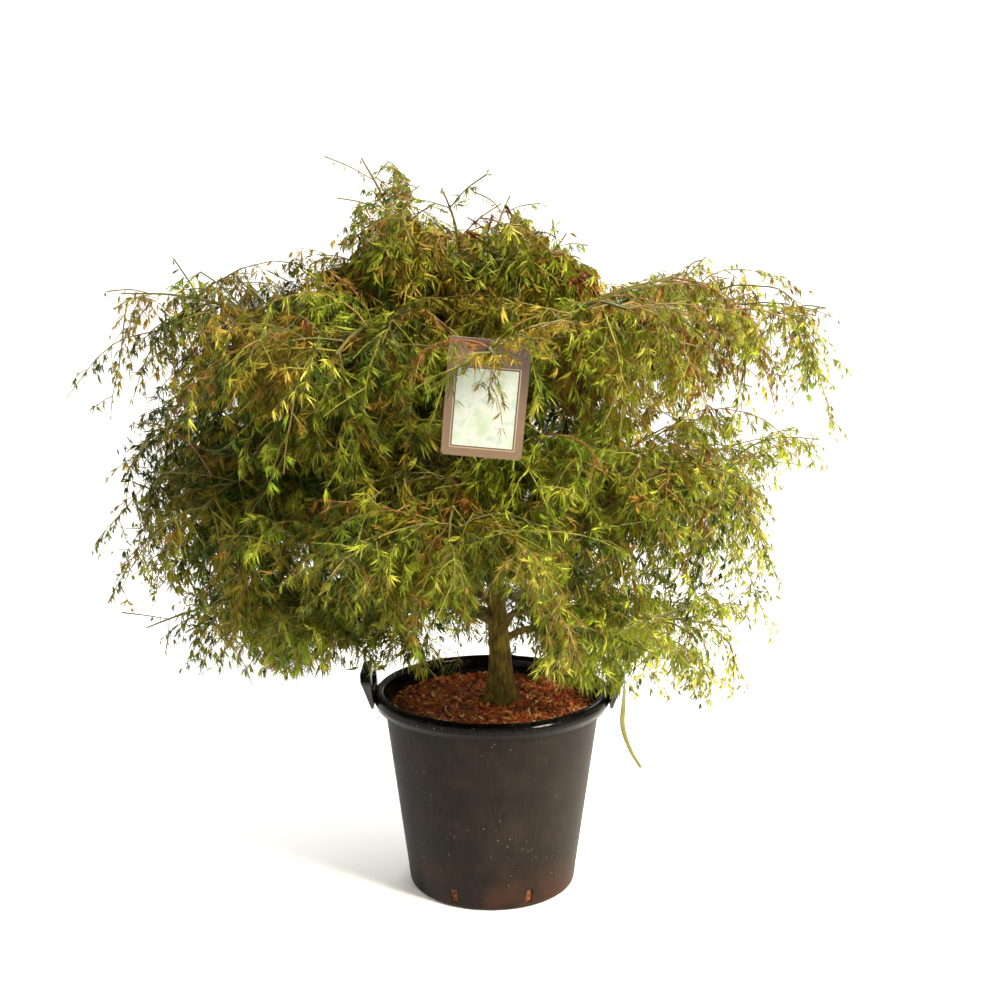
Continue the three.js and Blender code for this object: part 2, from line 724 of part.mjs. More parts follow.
function buildMass(mass, cell, limbs) {
  const otherLimbs = limbs.filter((limb) => limb !== mass.bough);
  const pieces = [];

  // The joints of a chain up to the first step that would leave the space or touch a limb.
  const fitting = (chain, radius, blockers) => {
    let count = 1;
    while (count < chain.joints.length
      && stickFits(cell, blockers, chain.joints[count - 1], chain.joints[count], radius)) count += 1;
    return chain.joints.slice(0, count);
  };
  const fittingLeaf = (seed, root, heading) => LEAF.shorter
    .map((share) => planLeaf(seed, root, heading, share * mass.leafShare))
    .find((leaf) => leafFits(cell, limbs, leaf));
  const addLeaf = (seed, root, heading) => {
    const leaf = fittingLeaf(seed, root, heading);
    if (leaf) pieces.push(buildLeaf(leaf));
  };
  // A shoot is three-sided and runs out into a blade of its own.
  const addShoot = (seed, joints, headings, radii) => {
    const last = joints.length - 1;
    const rings = joints.map((at, i) => ({ at, radius: radii[i] }));
    const leaf = fittingLeaf(seed, joints[last], headings[last]);
    if (leaf) {
      const [radius, depth] = [leaf.width / Math.sqrt(3), LEAF.thickness / 1.5];
      rings.push({ at: leaf.middle, radius, depth });
      rings.push({ at: leaf.tip, radius: 0 });
    } else {
      rings[last].radius = 0;
    }
    pieces.push(stick(rings, 3, leaf ? leaf.across : UP.clone().cross(headings[0])));
  };
  const taper = (radius, steps) => Array.from({ length: steps + 1 }, (_, i) => (
    THREE.MathUtils.lerp(radius, SHOOT.tipRadius, i / steps)));

  const start = mass.bough.tip.clone().addScaledVector(mass.bough.heading, CLEARANCE);
  const stem = growChain(
    mass.seed, start, mass.bough.heading, mass.reach, mass.steps, mass.droop);
  const stemJoints = fitting(stem, SHOOT.stemRadius, otherLimbs);
  const stemRadii = taper(SHOOT.stemRadius, mass.steps);
  addShoot(mass.seed * SEED.mass, stemJoints, stem.headings, stemRadii);
  for (let k = 0; k < stemJoints.length - 1; k += 1) {
    const seed = mass.seed * SEED.mass + k * SEED.joint;
    const heading = stem.headings[k + 1];
    const along = (share) => stemJoints[k].clone().lerp(stemJoints[k + 1], share);
    addLeaf(seed, along(SHOOT.leafAt), heading);
    sideHeadings(seed, heading).forEach((side, hand) => {
      const sideSeed = seed + SEED.side * (hand + 1);
      const full = mass.reach * SHOOT.sideShare * (1 - SHOOT.shorten * k);
      const length = full * (0.85 + SHOOT.sideSway * chance(sideSeed, DRAW.side));
      const parent = THREE.MathUtils.lerp(stemRadii[k], stemRadii[k + 1], SHOOT.pairAt);
      const radius = SHOOT.sideRadius * parent;
      const chain = growChain(
        sideSeed, along(SHOOT.pairAt), side, length, SHOOT.sideSteps, SHOOT.sideDroop);
      const joints = fitting(chain, radius, limbs);
      if (joints.length < 2) return;
      addShoot(sideSeed, joints, chain.headings, taper(radius, SHOOT.sideSteps));
    });
  }
  return mainBody(pieces.reduce((joined, piece) => joined.add(piece)));
}

// ---------------------------------------------------------------- label

function buildLabel() {
  const { width, height, thickness, corner, holeRadius, holeDrop } = LABEL;
  const half = width / 2;
  const top = holeDrop;
  const bottom = holeDrop - height;
  const card = new THREE.Shape();
  card.moveTo(-half + corner, bottom);
  card.absarc(half - corner, bottom + corner, corner, -Math.PI / 2, 0, false);
  card.absarc(half - corner, top - corner, corner, 0, Math.PI / 2, false);
  card.absarc(corner - half, top - corner, corner, Math.PI / 2, Math.PI, false);
  card.absarc(corner - half, bottom + corner, corner, Math.PI, 1.5 * Math.PI, false);
  const hole = new THREE.Path();
  hole.absarc(0, 0, holeRadius, 0, 2 * Math.PI, true);
  card.holes.push(hole);
  const options = { depth: thickness, bevelEnabled: false, curveSegments: 5 };
  const geometry = new THREE.ExtrudeGeometry(card, options)
    .translate(0, 0, -thickness / 2)
    .rotateX(Math.PI / 2)
    .applyMatrix4(labelPlace.matrixWorld);
  return toSolid(geometry);
}

// ---------------------------------------------------------------- the whole plant

addPiece('pot', buildPot(), FINISH.pot);
addPiece('soil', buildSoil(), FINISH.soil);
addPiece('handle_right', buildHandle(0), FINISH.pot);
addPiece('handle_left', buildHandle(180), FINISH.pot);
addPiece('strap', buildStrap(), FINISH.strap);
addPiece('trunk', buildTrunk(0), FINISH.bark);

const crown = planCrown();
const boughs = crown.map((mass) => mass.bough);
let woodRoom = buildTrunk(CLEARANCE);
for (const bough of boughs) {
  addPiece(`bough_${bough.name}`, mainBody(buildBough(bough, 0).subtract(woodRoom)), FINISH.bark);
  woodRoom = woodRoom.add(buildBough(bough, CLEARANCE));
}

const middles = crown.map(({ bough, reach, middle }) => bough.tip.clone()
  .addScaledVector(bough.heading, middle[0] * reach)
  .addScaledVector(UP, -middle[1] * reach));
crown.forEach((mass, i) => {
  addPiece(`foliage_${mass.name}`, buildMass(mass, cellOf(middles, i), boughs), mass.finish);
});

addPiece('label', buildLabel(), FINISH.label);

export default object;
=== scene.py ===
"""A cut-leaf maple of weeping habit in a round black nursery tub, dressed for rendering.

Sizes are millimetres until a mesh is made, +Z is up and the front faces -Y. The crown follows the
same rings of boughs as the solids, and carries them on to fine twigs and leaves.
"""

import math
from types import SimpleNamespace as Spec

import bpy
import numpy as np
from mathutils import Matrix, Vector, noise


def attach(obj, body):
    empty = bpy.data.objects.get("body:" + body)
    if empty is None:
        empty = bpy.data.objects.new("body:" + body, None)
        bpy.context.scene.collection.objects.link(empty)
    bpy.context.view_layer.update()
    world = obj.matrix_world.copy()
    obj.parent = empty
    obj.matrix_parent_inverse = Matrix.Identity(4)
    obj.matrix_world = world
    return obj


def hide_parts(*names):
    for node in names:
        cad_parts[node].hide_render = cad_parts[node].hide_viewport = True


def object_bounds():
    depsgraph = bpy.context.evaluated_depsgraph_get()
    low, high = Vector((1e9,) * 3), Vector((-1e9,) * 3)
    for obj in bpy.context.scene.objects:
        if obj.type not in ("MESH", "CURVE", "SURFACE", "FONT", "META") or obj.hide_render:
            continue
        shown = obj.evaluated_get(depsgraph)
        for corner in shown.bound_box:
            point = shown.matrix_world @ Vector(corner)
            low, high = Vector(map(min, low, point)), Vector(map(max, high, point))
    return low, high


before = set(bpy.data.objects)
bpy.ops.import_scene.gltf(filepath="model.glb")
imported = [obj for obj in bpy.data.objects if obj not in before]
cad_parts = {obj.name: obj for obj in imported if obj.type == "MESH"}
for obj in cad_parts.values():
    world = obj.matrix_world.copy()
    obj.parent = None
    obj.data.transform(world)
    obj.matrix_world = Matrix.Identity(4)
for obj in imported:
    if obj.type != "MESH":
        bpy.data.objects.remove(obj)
CAD_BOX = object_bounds()

# ---------------------------------------------------------------- sizes shared with the solids

POT = Spec(height=422, base_radius=177, foot_round=10, mouth_radius=228, wall=3.5, floor=5,
           lip_radius=247, lip_depth=26, lip_round=8, slots=7, slot_turn=90,
           slot_width=14, slot_height=30, slot_sill=12, mouth_round=7,
           lip_edge=((4.2, 1), (6, -0.5), (8.5, 1)))
HANDLE = Spec(width=130, below=27, above=51, thickness=22, bevel=3, lean=10, inner_face=246,
              gap_width=84, gap_from=8, gap_to=34, corner=26, soft=0.9, taper=(0.45, 0.65, 1.0))
STRAP = Spec(width=15, tail_width=6, thickness=1.5, hook_radius=13.95, inner_leg=4, y=-38,
             tail_forward=8, tail_inward=4, tail_bend=354, tail_end=262, tail_swing=40, sag=0.07,
             section=((1, 0.4), (0.93, 1), (-0.93, 1), (-1, 0.4), (-1, -0.4), (-0.93, -1),
                      (0.93, -1), (1, -0.4)))
SOIL = Spec(edge_height=388, crown_height=398, plateau=62, sunk=2.5, lumps=4.2, lump_scale=0.045,
            draw_in=0.86)
TRUNK = Spec(foot=(20, 0, 398.3), bend=(16, 4, 620), head=(-22, 6, 905), foot_radius=24,
             head_radius=13, flare=15, flare_height=40, ridges=5, ridge_share=0.22,
             grain=(0.055, 2.6))
TIERS = [
    Spec(name="crest", count=4, turn=172, centre=(-30, 0), radius=80, height=1205, rise=-0.1,
         lift=0, fork=820, fork_step=20, climb=82, pitch=68, reach=250, reach_slope=-1.0, steps=4,
         droop=0.06, middle=(0.5, 0), seed=15),
    Spec(name="canopy", count=7, turn=270 - 180 / 7, centre=(-35, 20), radius=265, height=1165,
         rise=0.12, lift=0.05, fork=735, fork_step=14, climb=66, pitch=24, reach=440,
         reach_slope=-0.06, steps=5, droop=0.15, middle=(0.32, 0.1), seed=23),
    Spec(name="middle", count=7, turn=270, centre=(-35, 40), radius=285, height=895, rise=0,
         lift=0.1, fork=640, fork_step=13, climb=52, pitch=16, reach=385, reach_slope=-0.2,
         steps=5, droop=0.15, middle=(0.4, 0.2), seed=37),
    Spec(name="skirt", count=6, turn=0, centre=(-50, 20), radius=270, height=572, rise=-0.06,
         lift=0.36, fork=522, fork_step=17, climb=36, pitch=10, reach=340, reach_slope=-0.26,
         steps=5, droop=0.15, middle=(0.4, 0.25), seed=53),
]
BOUGH = Spec(tip_radius=5.6, base_share=0.0105, climb_share=0.4, arch_share=0.3, straight=30,
             grain=(0.09, 1.1))
LABEL = Spec(width=135, height=200, thickness=1.5, corner=7, hole_radius=5.8, hole_drop=13,
             hangs_at=(1, -600, 1194), roll=5, kick=7, bough_past=14, bough_radius=4.1, fork=812,
             climb=66, reach=110, steps=2, middle=(0.4, 0.2), seed=71)
SHOOT = Spec(side_steps=2, spread=54, spread_sway=9, tumble=42, side_share=0.5, side_least=0.85,
             side_sway=0.3, shorten=0.12, side_droop=0.2, wander=0.16, stem_radius=7,
             side_radius=0.44, tip_radius=1.6, pair_at=0.35)
HEM = Spec(side=430, front_lift=0.4, tilt=0.04, dome_centre=(-110, -40), dome_radius=330,
           dome_lift=170, dip_centre=(560, -20), dip_radius=190, dip_depth=170)
ROOM = 1.5  # what shoots keep from the boughs, and from the border of the next mass
CELL_MARGIN = 0.6
FITTING_ROOM = Spec(aside=6, outward=62, inner=190, above=14, label=3)
# steps between the seeds and the draws of chance, as the solids have them
DRAW = Spec(roll=40, spread=41, side=60)
SEED = Spec(mass=31, joint=5, side=101)

# ---------------------------------------------------------------- sizes of the finer forms

# Branchlets arch out of the shoots and hang, sprigs leave them in pairs, and whips run on past the
# ends. spread is in degrees, hang and droop are shares of a step, and bark is the share of each
# twig colour.
BRANCHLET = Spec(spacing=29, from_bough=0.45, length=(150, 320), spread=(30, 80), tumble=65,
                 end_spread=0.45, hang=(-0.3, 0.5), steps=7, droop=(0.1, 0.26), wander=0.15,
                 radius=1.8, tip_radius=0.9, bark=(0.45, 0.2, 0.1, 0.25))
SPRIG = Spec(joints=(1, 2, 3, 4, 5, 6), length=(55, 115), spread=(35, 75), tumble=60,
             hang=(0.0, 0.55), steps=3, droop=(0.1, 0.3), wander=0.2, radius=1.1,
             tip_radius=0.7, lost=0.12, like_spray=0.4, bark=(0.4, 0.1, 0.1, 0.4))
WHIP = Spec(where=0.2, share=0.6, length=(150, 300), spread=(5, 40), tumble=60,
            hang=(-0.3, 0.1), steps=7, droop=(0.05, 0.17), wander=0.14, radius=1.7, tip_radius=0.9,
            bark=(0.2, 0.45, 0.15, 0.2))
LEAF = Spec(lobe=38, petiole=7, spread=74, angle_sway=7, widest=0.4, half_width=0.86, droop=0.5,
            curl=(0.2, 1.7), lobe_sway=(0.8, 1.15), outer_shorter=0.45, size=(0.62, 1.05))
# lobes, how far they are opened, and how much they curl, for each shape of leaf
LEAF_KINDS = ((7, 1.0, 1.0), (7, 0.8, 1.4), (7, 1.1, 0.6), (6, 0.7, 1.2), (7, 0.9, 0.8))
# a leaf points a little along its twig, aside, outward and down, and its face looks out and up
LEAF_AIM = Spec(along=0.45, aside=0.4, outward=0.6, down=0.65, sway=0.32, face_up=0.5,
                face_sway=0.75)
TIER_SHARE = dict(crest=0.45, front=0.5)  # how long their branchlets are, as a share
# how far the crown reaches to each side by height: its dense body, and its last single sprays.
# front is how much further they reach towards the front
BODY = Spec(height=(400, 500, 600, 880, 1200, 1275, 1320, 1360, 1420),
            left=(120, 280, 500, 550, 430, 350, 260, 120, 60),
            right=(130, 220, 300, 310, 280, 250, 190, 80, 30), front=170)
REACH = Spec(height=(400, 610, 700, 1000, 1200, 1300, 1350, 1400, 1430, 1530),
             left=(700, 675, 760, 790, 800, 750, 480, 250, 235, 300),
             right=(580, 690, 740, 820, 750, 740, 480, 360, 330, 300), front=120)
# what the thin outline loses of its branchlets, their length, sprigs, leaves and sizes
THIN = Spec(power=0.68, lost=0.94, shorter=0.3, sprigs=0.3, shorter_sprigs=0.4, leaves=0.25,
            smaller=0.5)
# the top of the crown: the highest that a spray reaches, by how far to the right it is. It falls
# towards the front and the back, and the leaves on the shoots themselves may pass it
TOP = Spec(at=(-800, -506, -401, -355, -350, -345, -190, -150, -60, 0, 60, 110, 190, 270, 340,
               480, 560, 800),
           height=(1290, 1325, 1355, 1375, 1400, 1530, 1530, 1430, 1385, 1400, 1440, 1370, 1325,
                   1275, 1340, 1340, 1310, 1270), fall=0.1, stem_leaves=150)
CELL_ROOM = 45  # how far a twig may cross into the next mass
HEM_ROOM = 35  # how far leaves may hang below the hem, and stand out of the box of the solids
BOX_ROOM = 12
TWIG_ROOM, LEAF_ROOM = 8, 6  # what twigs and leaves keep from the fittings
BEFORE_CARD = dict(branchlets=0.35, sprigs=0.6, leaves=0.85)  # what the front bough keeps there
PIECE_TRIANGLES = 190000  # the most for one joined piece
CROWN_CENTRE = np.array([-50.0, 20.0, 800.0])
CROWN_RADII = np.array([790.0, 770.0, 640.0])
# the clear spaces before the foot of the trunk and before the card
TRUNK_CLEARING = Spec(aside=34, widen=0.02, top=655, rise=0.2, ahead=20)
CARD_CLEARING = Spec(aside=5, above=18, below=4, behind=4, front=420, rise=0.24, widen=0.03)
FLAKE = Spec(count=3800, length=(2.5, 9), width=(1.6, 4.5), thickness=(0.7, 2.2), tilt=0.45,
             torn=0.3, bury=2.5, from_trunk=34, tints=(0.3, 0.3, 0.17, 0.13, 0.1))
# a rib's section, and where ribs stand on the grip and on its legs, as (first, end, pitch)
RIB = Spec(across=(-1.3, -0.7, 0.7, 1.3), shrink=(0.985, 1.0, 1.0, 0.985), proud=1.1, square=0.45,
           on_grip=(-38, 39, 9.5), on_legs=(-52, 53, 13.0))
# the printed frame: its place on the card, and each line's edge as (inset, corner)
PRINT = Spec(aside=13, below=14, above=46, proud=0.15,
             lines=((0, 2.0), (1.5, 1.6), (2.5, 1.2), (4, 1.0)))
CAMERA = Spec(lens=53.06, place=(0.0167, -3.0, 1.392), down=10.64)
STUDIO = Spec(floor=-0.5, flat=5000, sweep=2500, top=6000, sides=64, sky=0.22)
# round lamps in metres: name, place, target, diameter, watts and colour
LAMPS = [("key", (2.9, -2.3, 3.0), (0, 0, 0.8), 1.3, 530, "#fff3dc"),
         ("fill", (-2.6, -2.4, 1.8), (0, 0, 0.7), 2.2, 4, "#ffffff"),
         ("back", (0.4, 2.8, 2.6), (0, 0, 0.9), 2.0, 80, "#ffffff")]
LAMPS += [("backdrop_" + name, (3.4 * x, 3.4 * y, 4.2), (6.2 * x, 6.2 * y, 0.6), 3.0, watts,
           "#ffffff") for name, x, y, watts in (("back", 0, 1, 150), ("right", 1, 0, 60),
                                                ("front", 0, -1, 60), ("left", -1, 0, 60))]

CURVE_STEPS = 6  # points to a span of a soft curve
UP = np.array([0.0, 0.0, 1.0])

# ---------------------------------------------------------------- vectors and chance


def unit(vectors):
    vectors = np.asarray(vectors, float)
    return vectors / np.maximum(np.linalg.norm(vectors, axis=-1, keepdims=True), 1e-9)


def rotated(vectors, axes, angles):
    """The vectors turned about unit axes by angles in radians."""
    cosine = np.cos(angles)[..., None]
    sine = np.sin(angles)[..., None]
    along = np.sum(axes * vectors, axis=-1, keepdims=True)
    return vectors * cosine + np.cross(axes, vectors) * sine + axes * along * (1 - cosine)


def around(degrees):
    return np.array([math.cos(math.radians(degrees)), math.sin(math.radians(degrees)), 0.0])


def chance(seed, count):
    """A repeatable number from 0 to 1, the same one as the solids draw."""
    mask = 0xFFFFFFFF
    mix = (seed * 0x9E3779B1 + (count + 1) * 0x85EBCA6B) & mask
    mix = ((mix ^ (mix >> 15)) * 0x2C1B3C6D) & mask
    mix = ((mix ^ (mix >> 12)) * 0x297A2D39) & mask
    return (mix ^ (mix >> 15)) / 4294967296


def sway(seed, count):
    return 2 * chance(seed, count) - 1


def mix(a, b, share):
    return a + (b - a) * share


def ring_turns(sides):
    """Angles of points spaced evenly round a ring."""
    return np.arange(sides) * 2 * np.pi / sides


def smooth_line(points, count):
    """A polyline drawn through points as one soft curve, with count points to a span."""
    points = np.asarray(points, float)
    if len(points) < 3:
        share = np.linspace(0, 1, count * (len(points) - 1) + 1)[:, None]
        return points[0] + (points[-1] - points[0]) * share
    padded = np.vstack([2 * points[0] - points[1], points, 2 * points[-1] - points[-2]])
    line = [points[0]]
    for i in range(1, len(padded) - 2):
        before, start, end, after = padded[i - 1:i + 3]
        for step in range(1, count + 1):
            t = step / count
            line.append(0.5 * (2 * start + (end - before) * t
                               + (2 * before - 5 * start + 4 * end - after) * t ** 2
                               + (3 * start - before - 3 * end + after) * t ** 3))
    return np.array(line)


# ---------------------------------------------------------------- meshes from arrays


def add_piece(name, points, faces, materials, indices=None, smooth=True):
    """A mesh from arrays: faces is one array, or a list of arrays with 3 or 4 corners each."""
    groups = faces if isinstance(faces, list) else [faces]
    corners = np.concatenate([group.ravel() for group in groups]).astype(np.int32)
    totals = np.concatenate([np.full(len(group), group.shape[1]) for group in groups])
    starts = np.concatenate([[0], np.cumsum(totals)[:-1]])
    mesh = bpy.data.meshes.new(name)
    mesh.vertices.add(len(points))
    mesh.vertices.foreach_set("co", (np.asarray(points, float) / 1000).ravel())
    mesh.loops.add(len(corners))
    mesh.loops.foreach_set("vertex_index", corners)
    mesh.polygons.add(len(totals))
    mesh.polygons.foreach_set("loop_start", starts.astype(np.int32))
    mesh.polygons.foreach_set("loop_total", totals.astype(np.int32))
    for material in materials:
        mesh.materials.append(material)
    if indices is not None:
        mesh.polygons.foreach_set("material_index", np.asarray(indices, np.int32))
    mesh.polygons.foreach_set("use_smooth", np.full(len(totals), smooth))
    mesh.update()
    mesh.validate()
    piece = bpy.data.objects.new(name, mesh)
    bpy.context.collection.objects.link(piece)
    return piece


def tubes(lines, radii, sides):
    """Tapering tubes for many lines at once: lines (n, m, 3), radii (n, m)."""
    lines = np.asarray(lines, float)
    radii = np.asarray(radii, float)
    along = np.empty_like(lines)
    along[:, 1:-1] = lines[:, 2:] - lines[:, :-2]
    along[:, 0] = lines[:, 1] - lines[:, 0]
    along[:, -1] = lines[:, -1] - lines[:, -2]
    along = unit(along)
    reference = unit(lines[:, -1] - lines[:, 0])
    across = unit(np.cross(reference, UP) + np.array([0.013, 0.007, 0.0]))[:, None, :]
    side = unit(across - along * np.sum(across * along, axis=-1, keepdims=True))
    other = np.cross(along, side)
    turn = ring_turns(sides)[:, None]
    ring = side[:, :, None, :] * np.cos(turn) + other[:, :, None, :] * np.sin(turn)
    points = lines[:, :, None, :] + ring * radii[:, :, None, None]
    count, length = lines.shape[:2]
    return points.reshape(-1, 3), tube_faces(count, length, sides)


def tube_faces(count, length, sides):
    """Quads between the rings of count tubes with length rings each."""
    base = np.arange(count)[:, None, None] * length * sides
    step = np.arange(length - 1)[None, :, None] * sides
    here = np.arange(sides)[None, None, :]
    there = (here + 1) % sides
    low = base + step
    quads = np.stack([low + here, low + there, low + there + sides, low + here + sides], axis=-1)
    return quads.reshape(-1, 4)


def stands_for(piece, slot, *nodes):
    """The piece rides with the body and takes the place of these nodes; slot is not used."""
    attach(piece, "root")
    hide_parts(*nodes)


def joined(parts):
    """Points and faces of several (points, faces) pairs as one pair."""
    points, faces, offset = [], [], 0
    for part_points, part_faces in parts:
        points.append(part_points)
        faces.append(part_faces + offset)
        offset += len(part_points)
    return np.vstack(points), np.vstack(faces)


# ---------------------------------------------------------------- materials

# Patterns are passed on as pairs: a node and the name of its output.
BLACK, WHITE = "#000000", "#ffffff"


def linear(hex_colour):
    """An sRGB hex value as linear RGBA."""
    channels = [int(hex_colour[i:i + 2], 16) / 255 for i in (1, 3, 5)]
    return [c / 12.92 if c <= 0.04045 else ((c + 0.055) / 1.055) ** 2.4 for c in channels] + [1.0]


def add_node(tree, kind, settings=(), inputs=(), links=()):
    """A node with its settings, input values, and links from (node, output) to an input."""
    item = tree.nodes.new(kind)
    for key, value in dict(settings).items():
        setattr(item, key, value)
    for key, value in dict(inputs).items():
        item.inputs[key].default_value = value
    for key, (source, output) in dict(links).items():
        tree.links.new(source.outputs[output], item.inputs[key])
    return item


def start_finish(name, colour, roughness, specular=0.5):
    """A material with its shader, and object coordinates in metres for its patterns."""
    material = bpy.data.materials.new(name)
    material.use_nodes = True
    tree = material.node_tree
    shader = tree.nodes["Principled BSDF"]
    shader.inputs["Base Color"].default_value = linear(colour)
    shader.inputs["Roughness"].default_value = roughness
    shader.inputs["Specular IOR Level"].default_value = specular
    place = (add_node(tree, "ShaderNodeTexCoord"), "Object")
    return Spec(material=material, tree=tree, shader=shader, place=place)


def drive(finish, socket, source):
    """Links a pattern to a socket of the shader."""
    node, output = source
    finish.tree.links.new(node.outputs[output], finish.shader.inputs[socket])


def noise_of(finish, scale, detail, place=None, **inputs):
    """Soft noise, with scale lumps to a metre."""
    return add_node(finish.tree, "ShaderNodeTexNoise", links={"Vector": place or finish.place},
                    inputs={"Scale": scale, "Detail": detail, **inputs}), "Fac"


def cells_of(finish, scale):
    """A node of round cells, with scale cells to a metre."""
    return add_node(finish.tree, "ShaderNodeTexVoronoi", inputs={"Scale": scale, "Randomness": 1.0},
                    links={"Vector": finish.place})


def stretched(finish, scale, **inputs):
    """The finish's coordinates, scaled along each axis."""
    return add_node(finish.tree, "ShaderNodeMapping", inputs={"Scale": scale, **inputs},
                    links={"Vector": finish.place}), "Vector"


def axes_of(finish, place):
    return add_node(finish.tree, "ShaderNodeSeparateXYZ", links={"Vector": place})


def ramp(finish, source, stops):
    """A colour ramp over (position, hex) stops."""
    item = add_node(finish.tree, "ShaderNodeValToRGB", links={"Fac": source})
    elements = item.color_ramp.elements
    while len(elements) < len(stops):
        elements.new(0.5)
    for element, (position, colour) in zip(elements, stops):
        element.position = position
        element.color = linear(colour)
    return item, "Color"


def spread(finish, source, low, high, start=0.0, end=1.0):
    """A value that goes from low to high as the source goes from start to end."""
    limits = {"From Min": start, "From Max": end, "To Min": low, "To Max": high}
    return add_node(finish.tree, "ShaderNodeMapRange", (), limits, {"Value": source}), "Result"


def combined(finish, operation, first, second):
    return add_node(finish.tree, "ShaderNodeMath", {"operation": operation},
                    links={0: first, 1: second}), "Value"


def covered(finish, base, amount, colour):
    """The base colour, turned into another colour by an amount from 0 to 1."""
    return add_node(finish.tree, "ShaderNodeMix", {"data_type": "RGBA"}, inputs={7: linear(colour)},
                    links={"Factor": amount, 6: base}), 2


def emboss(finish, source, strength, distance):
    bump = add_node(finish.tree, "ShaderNodeBump", links={"Height": source},
                    inputs={"Strength": strength, "Distance": distance})
    drive(finish, "Normal", (bump, "Normal"))


def grained(name, colour, roughness, grain, rough=None, bump=None, tones=None, specular=0.5):
    """A finish with one noise (scale, detail) behind its roughness, its relief and its tones."""
    finish = start_finish(name, colour, roughness, specular)
    pattern = noise_of(finish, *grain)
    if tones:
        drive(finish, "Base Color", ramp(finish, pattern, tones))
    if rough:
        drive(finish, "Roughness", spread(finish, pattern, *rough))
    if bump:
        emboss(finish, pattern, *bump)
    return finish.material


def tub_plastic(name, stops, rough, painted_right_light):
    """Moulded recycled polypropylene: nearly black, faintly brown, scuffed pale where it rubs."""
    finish = start_finish(name, stops[0][1], rough[1], 0.12)
    cloud = noise_of(finish, 17.0, 4.0)  # cloudy regrind, patches of about 60 mm
    # rubbed specks of about 2 mm, in fields of about 110 mm
    speck = ramp(finish, (cells_of(finish, 62.0), "Distance"), [(0.05, WHITE), (0.095, BLACK)])
    field = noise_of(finish, 9.0, 2.0)
    specks = combined(finish, "MULTIPLY", speck, ramp(finish, field, [(0.42, BLACK), (0.6, WHITE)]))
    # upright scuffs, 6 mm wide and 50 mm long
    upright = stretched(finish, (150.0, 150.0, 20.0), Rotation=(0.15, 0.1, 0.0))
    scuffs = ramp(finish, noise_of(finish, 1.0, 3.0, upright), [(0.5, BLACK), (0.75, "#303030")])
    rubbed = covered(finish, ramp(finish, cloud, stops),
                     combined(finish, "MAXIMUM", specks, scuffs), "#7b736c")
    # painted light: the right side, where the key lamp falls, turns a lighter brown; and earth
    # splashed on the lowest 110 mm
    axes = axes_of(finish, finish.place)
    right_painted_lighter = covered(finish, rubbed, spread(finish, (axes, "X"), 0.0, painted_right_light, -0.24, 0.26), "#5a4b33")
    low = spread(finish, (axes, "Z"), 0.6, 0.0, 0.0, 0.11)
    splashes = ramp(finish, field, [(0.4, BLACK), (0.6, WHITE)])
    drive(finish, "Base Color",
          covered(finish, right_painted_lighter, combined(finish, "MULTIPLY", low, splashes), "#3d2010"))
    drive(finish, "Roughness", spread(finish, cloud, *rough))
    emboss(finish, noise_of(finish, 160.0, 3.0), 0.12, 0.001)  # mould flow lines, 6 mm apart
    return finish.material


def handle_plastic():
    """Moulded high-density polyethylene: black and shiny, with a soft orange-peel skin."""
    finish = start_finish("handle_polyethylene", "#121110", 0.24)
    wear = noise_of(finish, 35.0, 3.0)
    drive(finish, "Base Color", ramp(finish, wear, [(0.35, "#050505"), (0.7, "#12100e")]))
    drive(finish, "Roughness", spread(finish, wear, 0.12, 0.3))
    emboss(finish, noise_of(finish, 220.0, 2.0), 0.2, 0.0008)
    return finish.material


def bark(name, stops, fissure, depth):
    """Thin maple bark: smooth between shallow lengthwise fissures, with green algae on it."""
    finish = start_finish(name, stops[0][1], 0.8, 0.2)
    ridges = noise_of(finish, fissure, 6.0, stretched(finish, (1.0, 1.0, 0.22)), Roughness=0.65)
    algae = ramp(finish, noise_of(finish, 28.0, 3.0), [(0.45, BLACK), (0.7, "#9a9a9a")])
    drive(finish, "Base Color", covered(finish, ramp(finish, ridges, stops), algae, "#4f4c17"))
    emboss(finish, ridges, 0.6, depth)
    return finish.material


def peat():
    """Peat and bark fines between the flakes: dark red-brown crumbs of 2 to 4 mm."""
    finish = start_finish("peat_and_fines", "#3a1c10", 0.95)
    crumbs = cells_of(finish, 260.0)
    drive(finish, "Base Color",
          ramp(finish, (crumbs, "Color"), [(0.1, "#2a130b"), (0.5, "#57290f"), (0.9, "#8a4a1e")]))
    emboss(finish, (crumbs, "Distance"), 1.0, 0.003)
    return finish.material


def printed_card():
    """Printed polypropylene card: satin, tan turning to a dark plum at its top right."""
    finish = start_finish("printed_card", "#a38564", 0.38)
    axes = axes_of(finish, stretched(finish, (5.5, 1.0, 4.5), Location=(0.0, 0.0, -4.95)))
    to_corner = combined(finish, "ADD", (axes, "X"), (axes, "Z"))
    drive(finish, "Base Color",
          ramp(finish, to_corner, [(0.1, "#5f4c37"), (0.45, "#4a372c"), (0.8, "#291d22")]))
    drive(finish, "Roughness", spread(finish, noise_of(finish, 60.0, 3.0), 0.3, 0.46))
    return finish.material


# its last value is how much painted light the right side takes
TUB_PLASTIC = tub_plastic("tub_polypropylene",
                          [(0.3, "#0a0808"), (0.5, "#110d0c"), (0.7, "#1f1714")], (0.42, 0.6), 0.08)
# the rim is glossier than the wall and painted darker: painted shade, standing for the dark crown
# reflected in it
RIM_PLASTIC = tub_plastic("rim_polished_by_hands",
                          [(0.3, "#040404"), (0.62, "#080707"), (0.8, "#120f0d")], (0.1, 0.2), 0.0)
HANDLE_PLASTIC = handle_plastic()
TRUNK_BARK = bark("trunk_bark", [(0.3, "#2a2009"), (0.5, "#594a17"), (0.75, "#8c7829")],
                  160.0, 0.003)
BOUGH_BARK = bark("bough_bark", [(0.3, "#2f2510"), (0.5, "#55451d"), (0.75, "#7d6630")],
                  260.0, 0.0015)
CARD = printed_card()
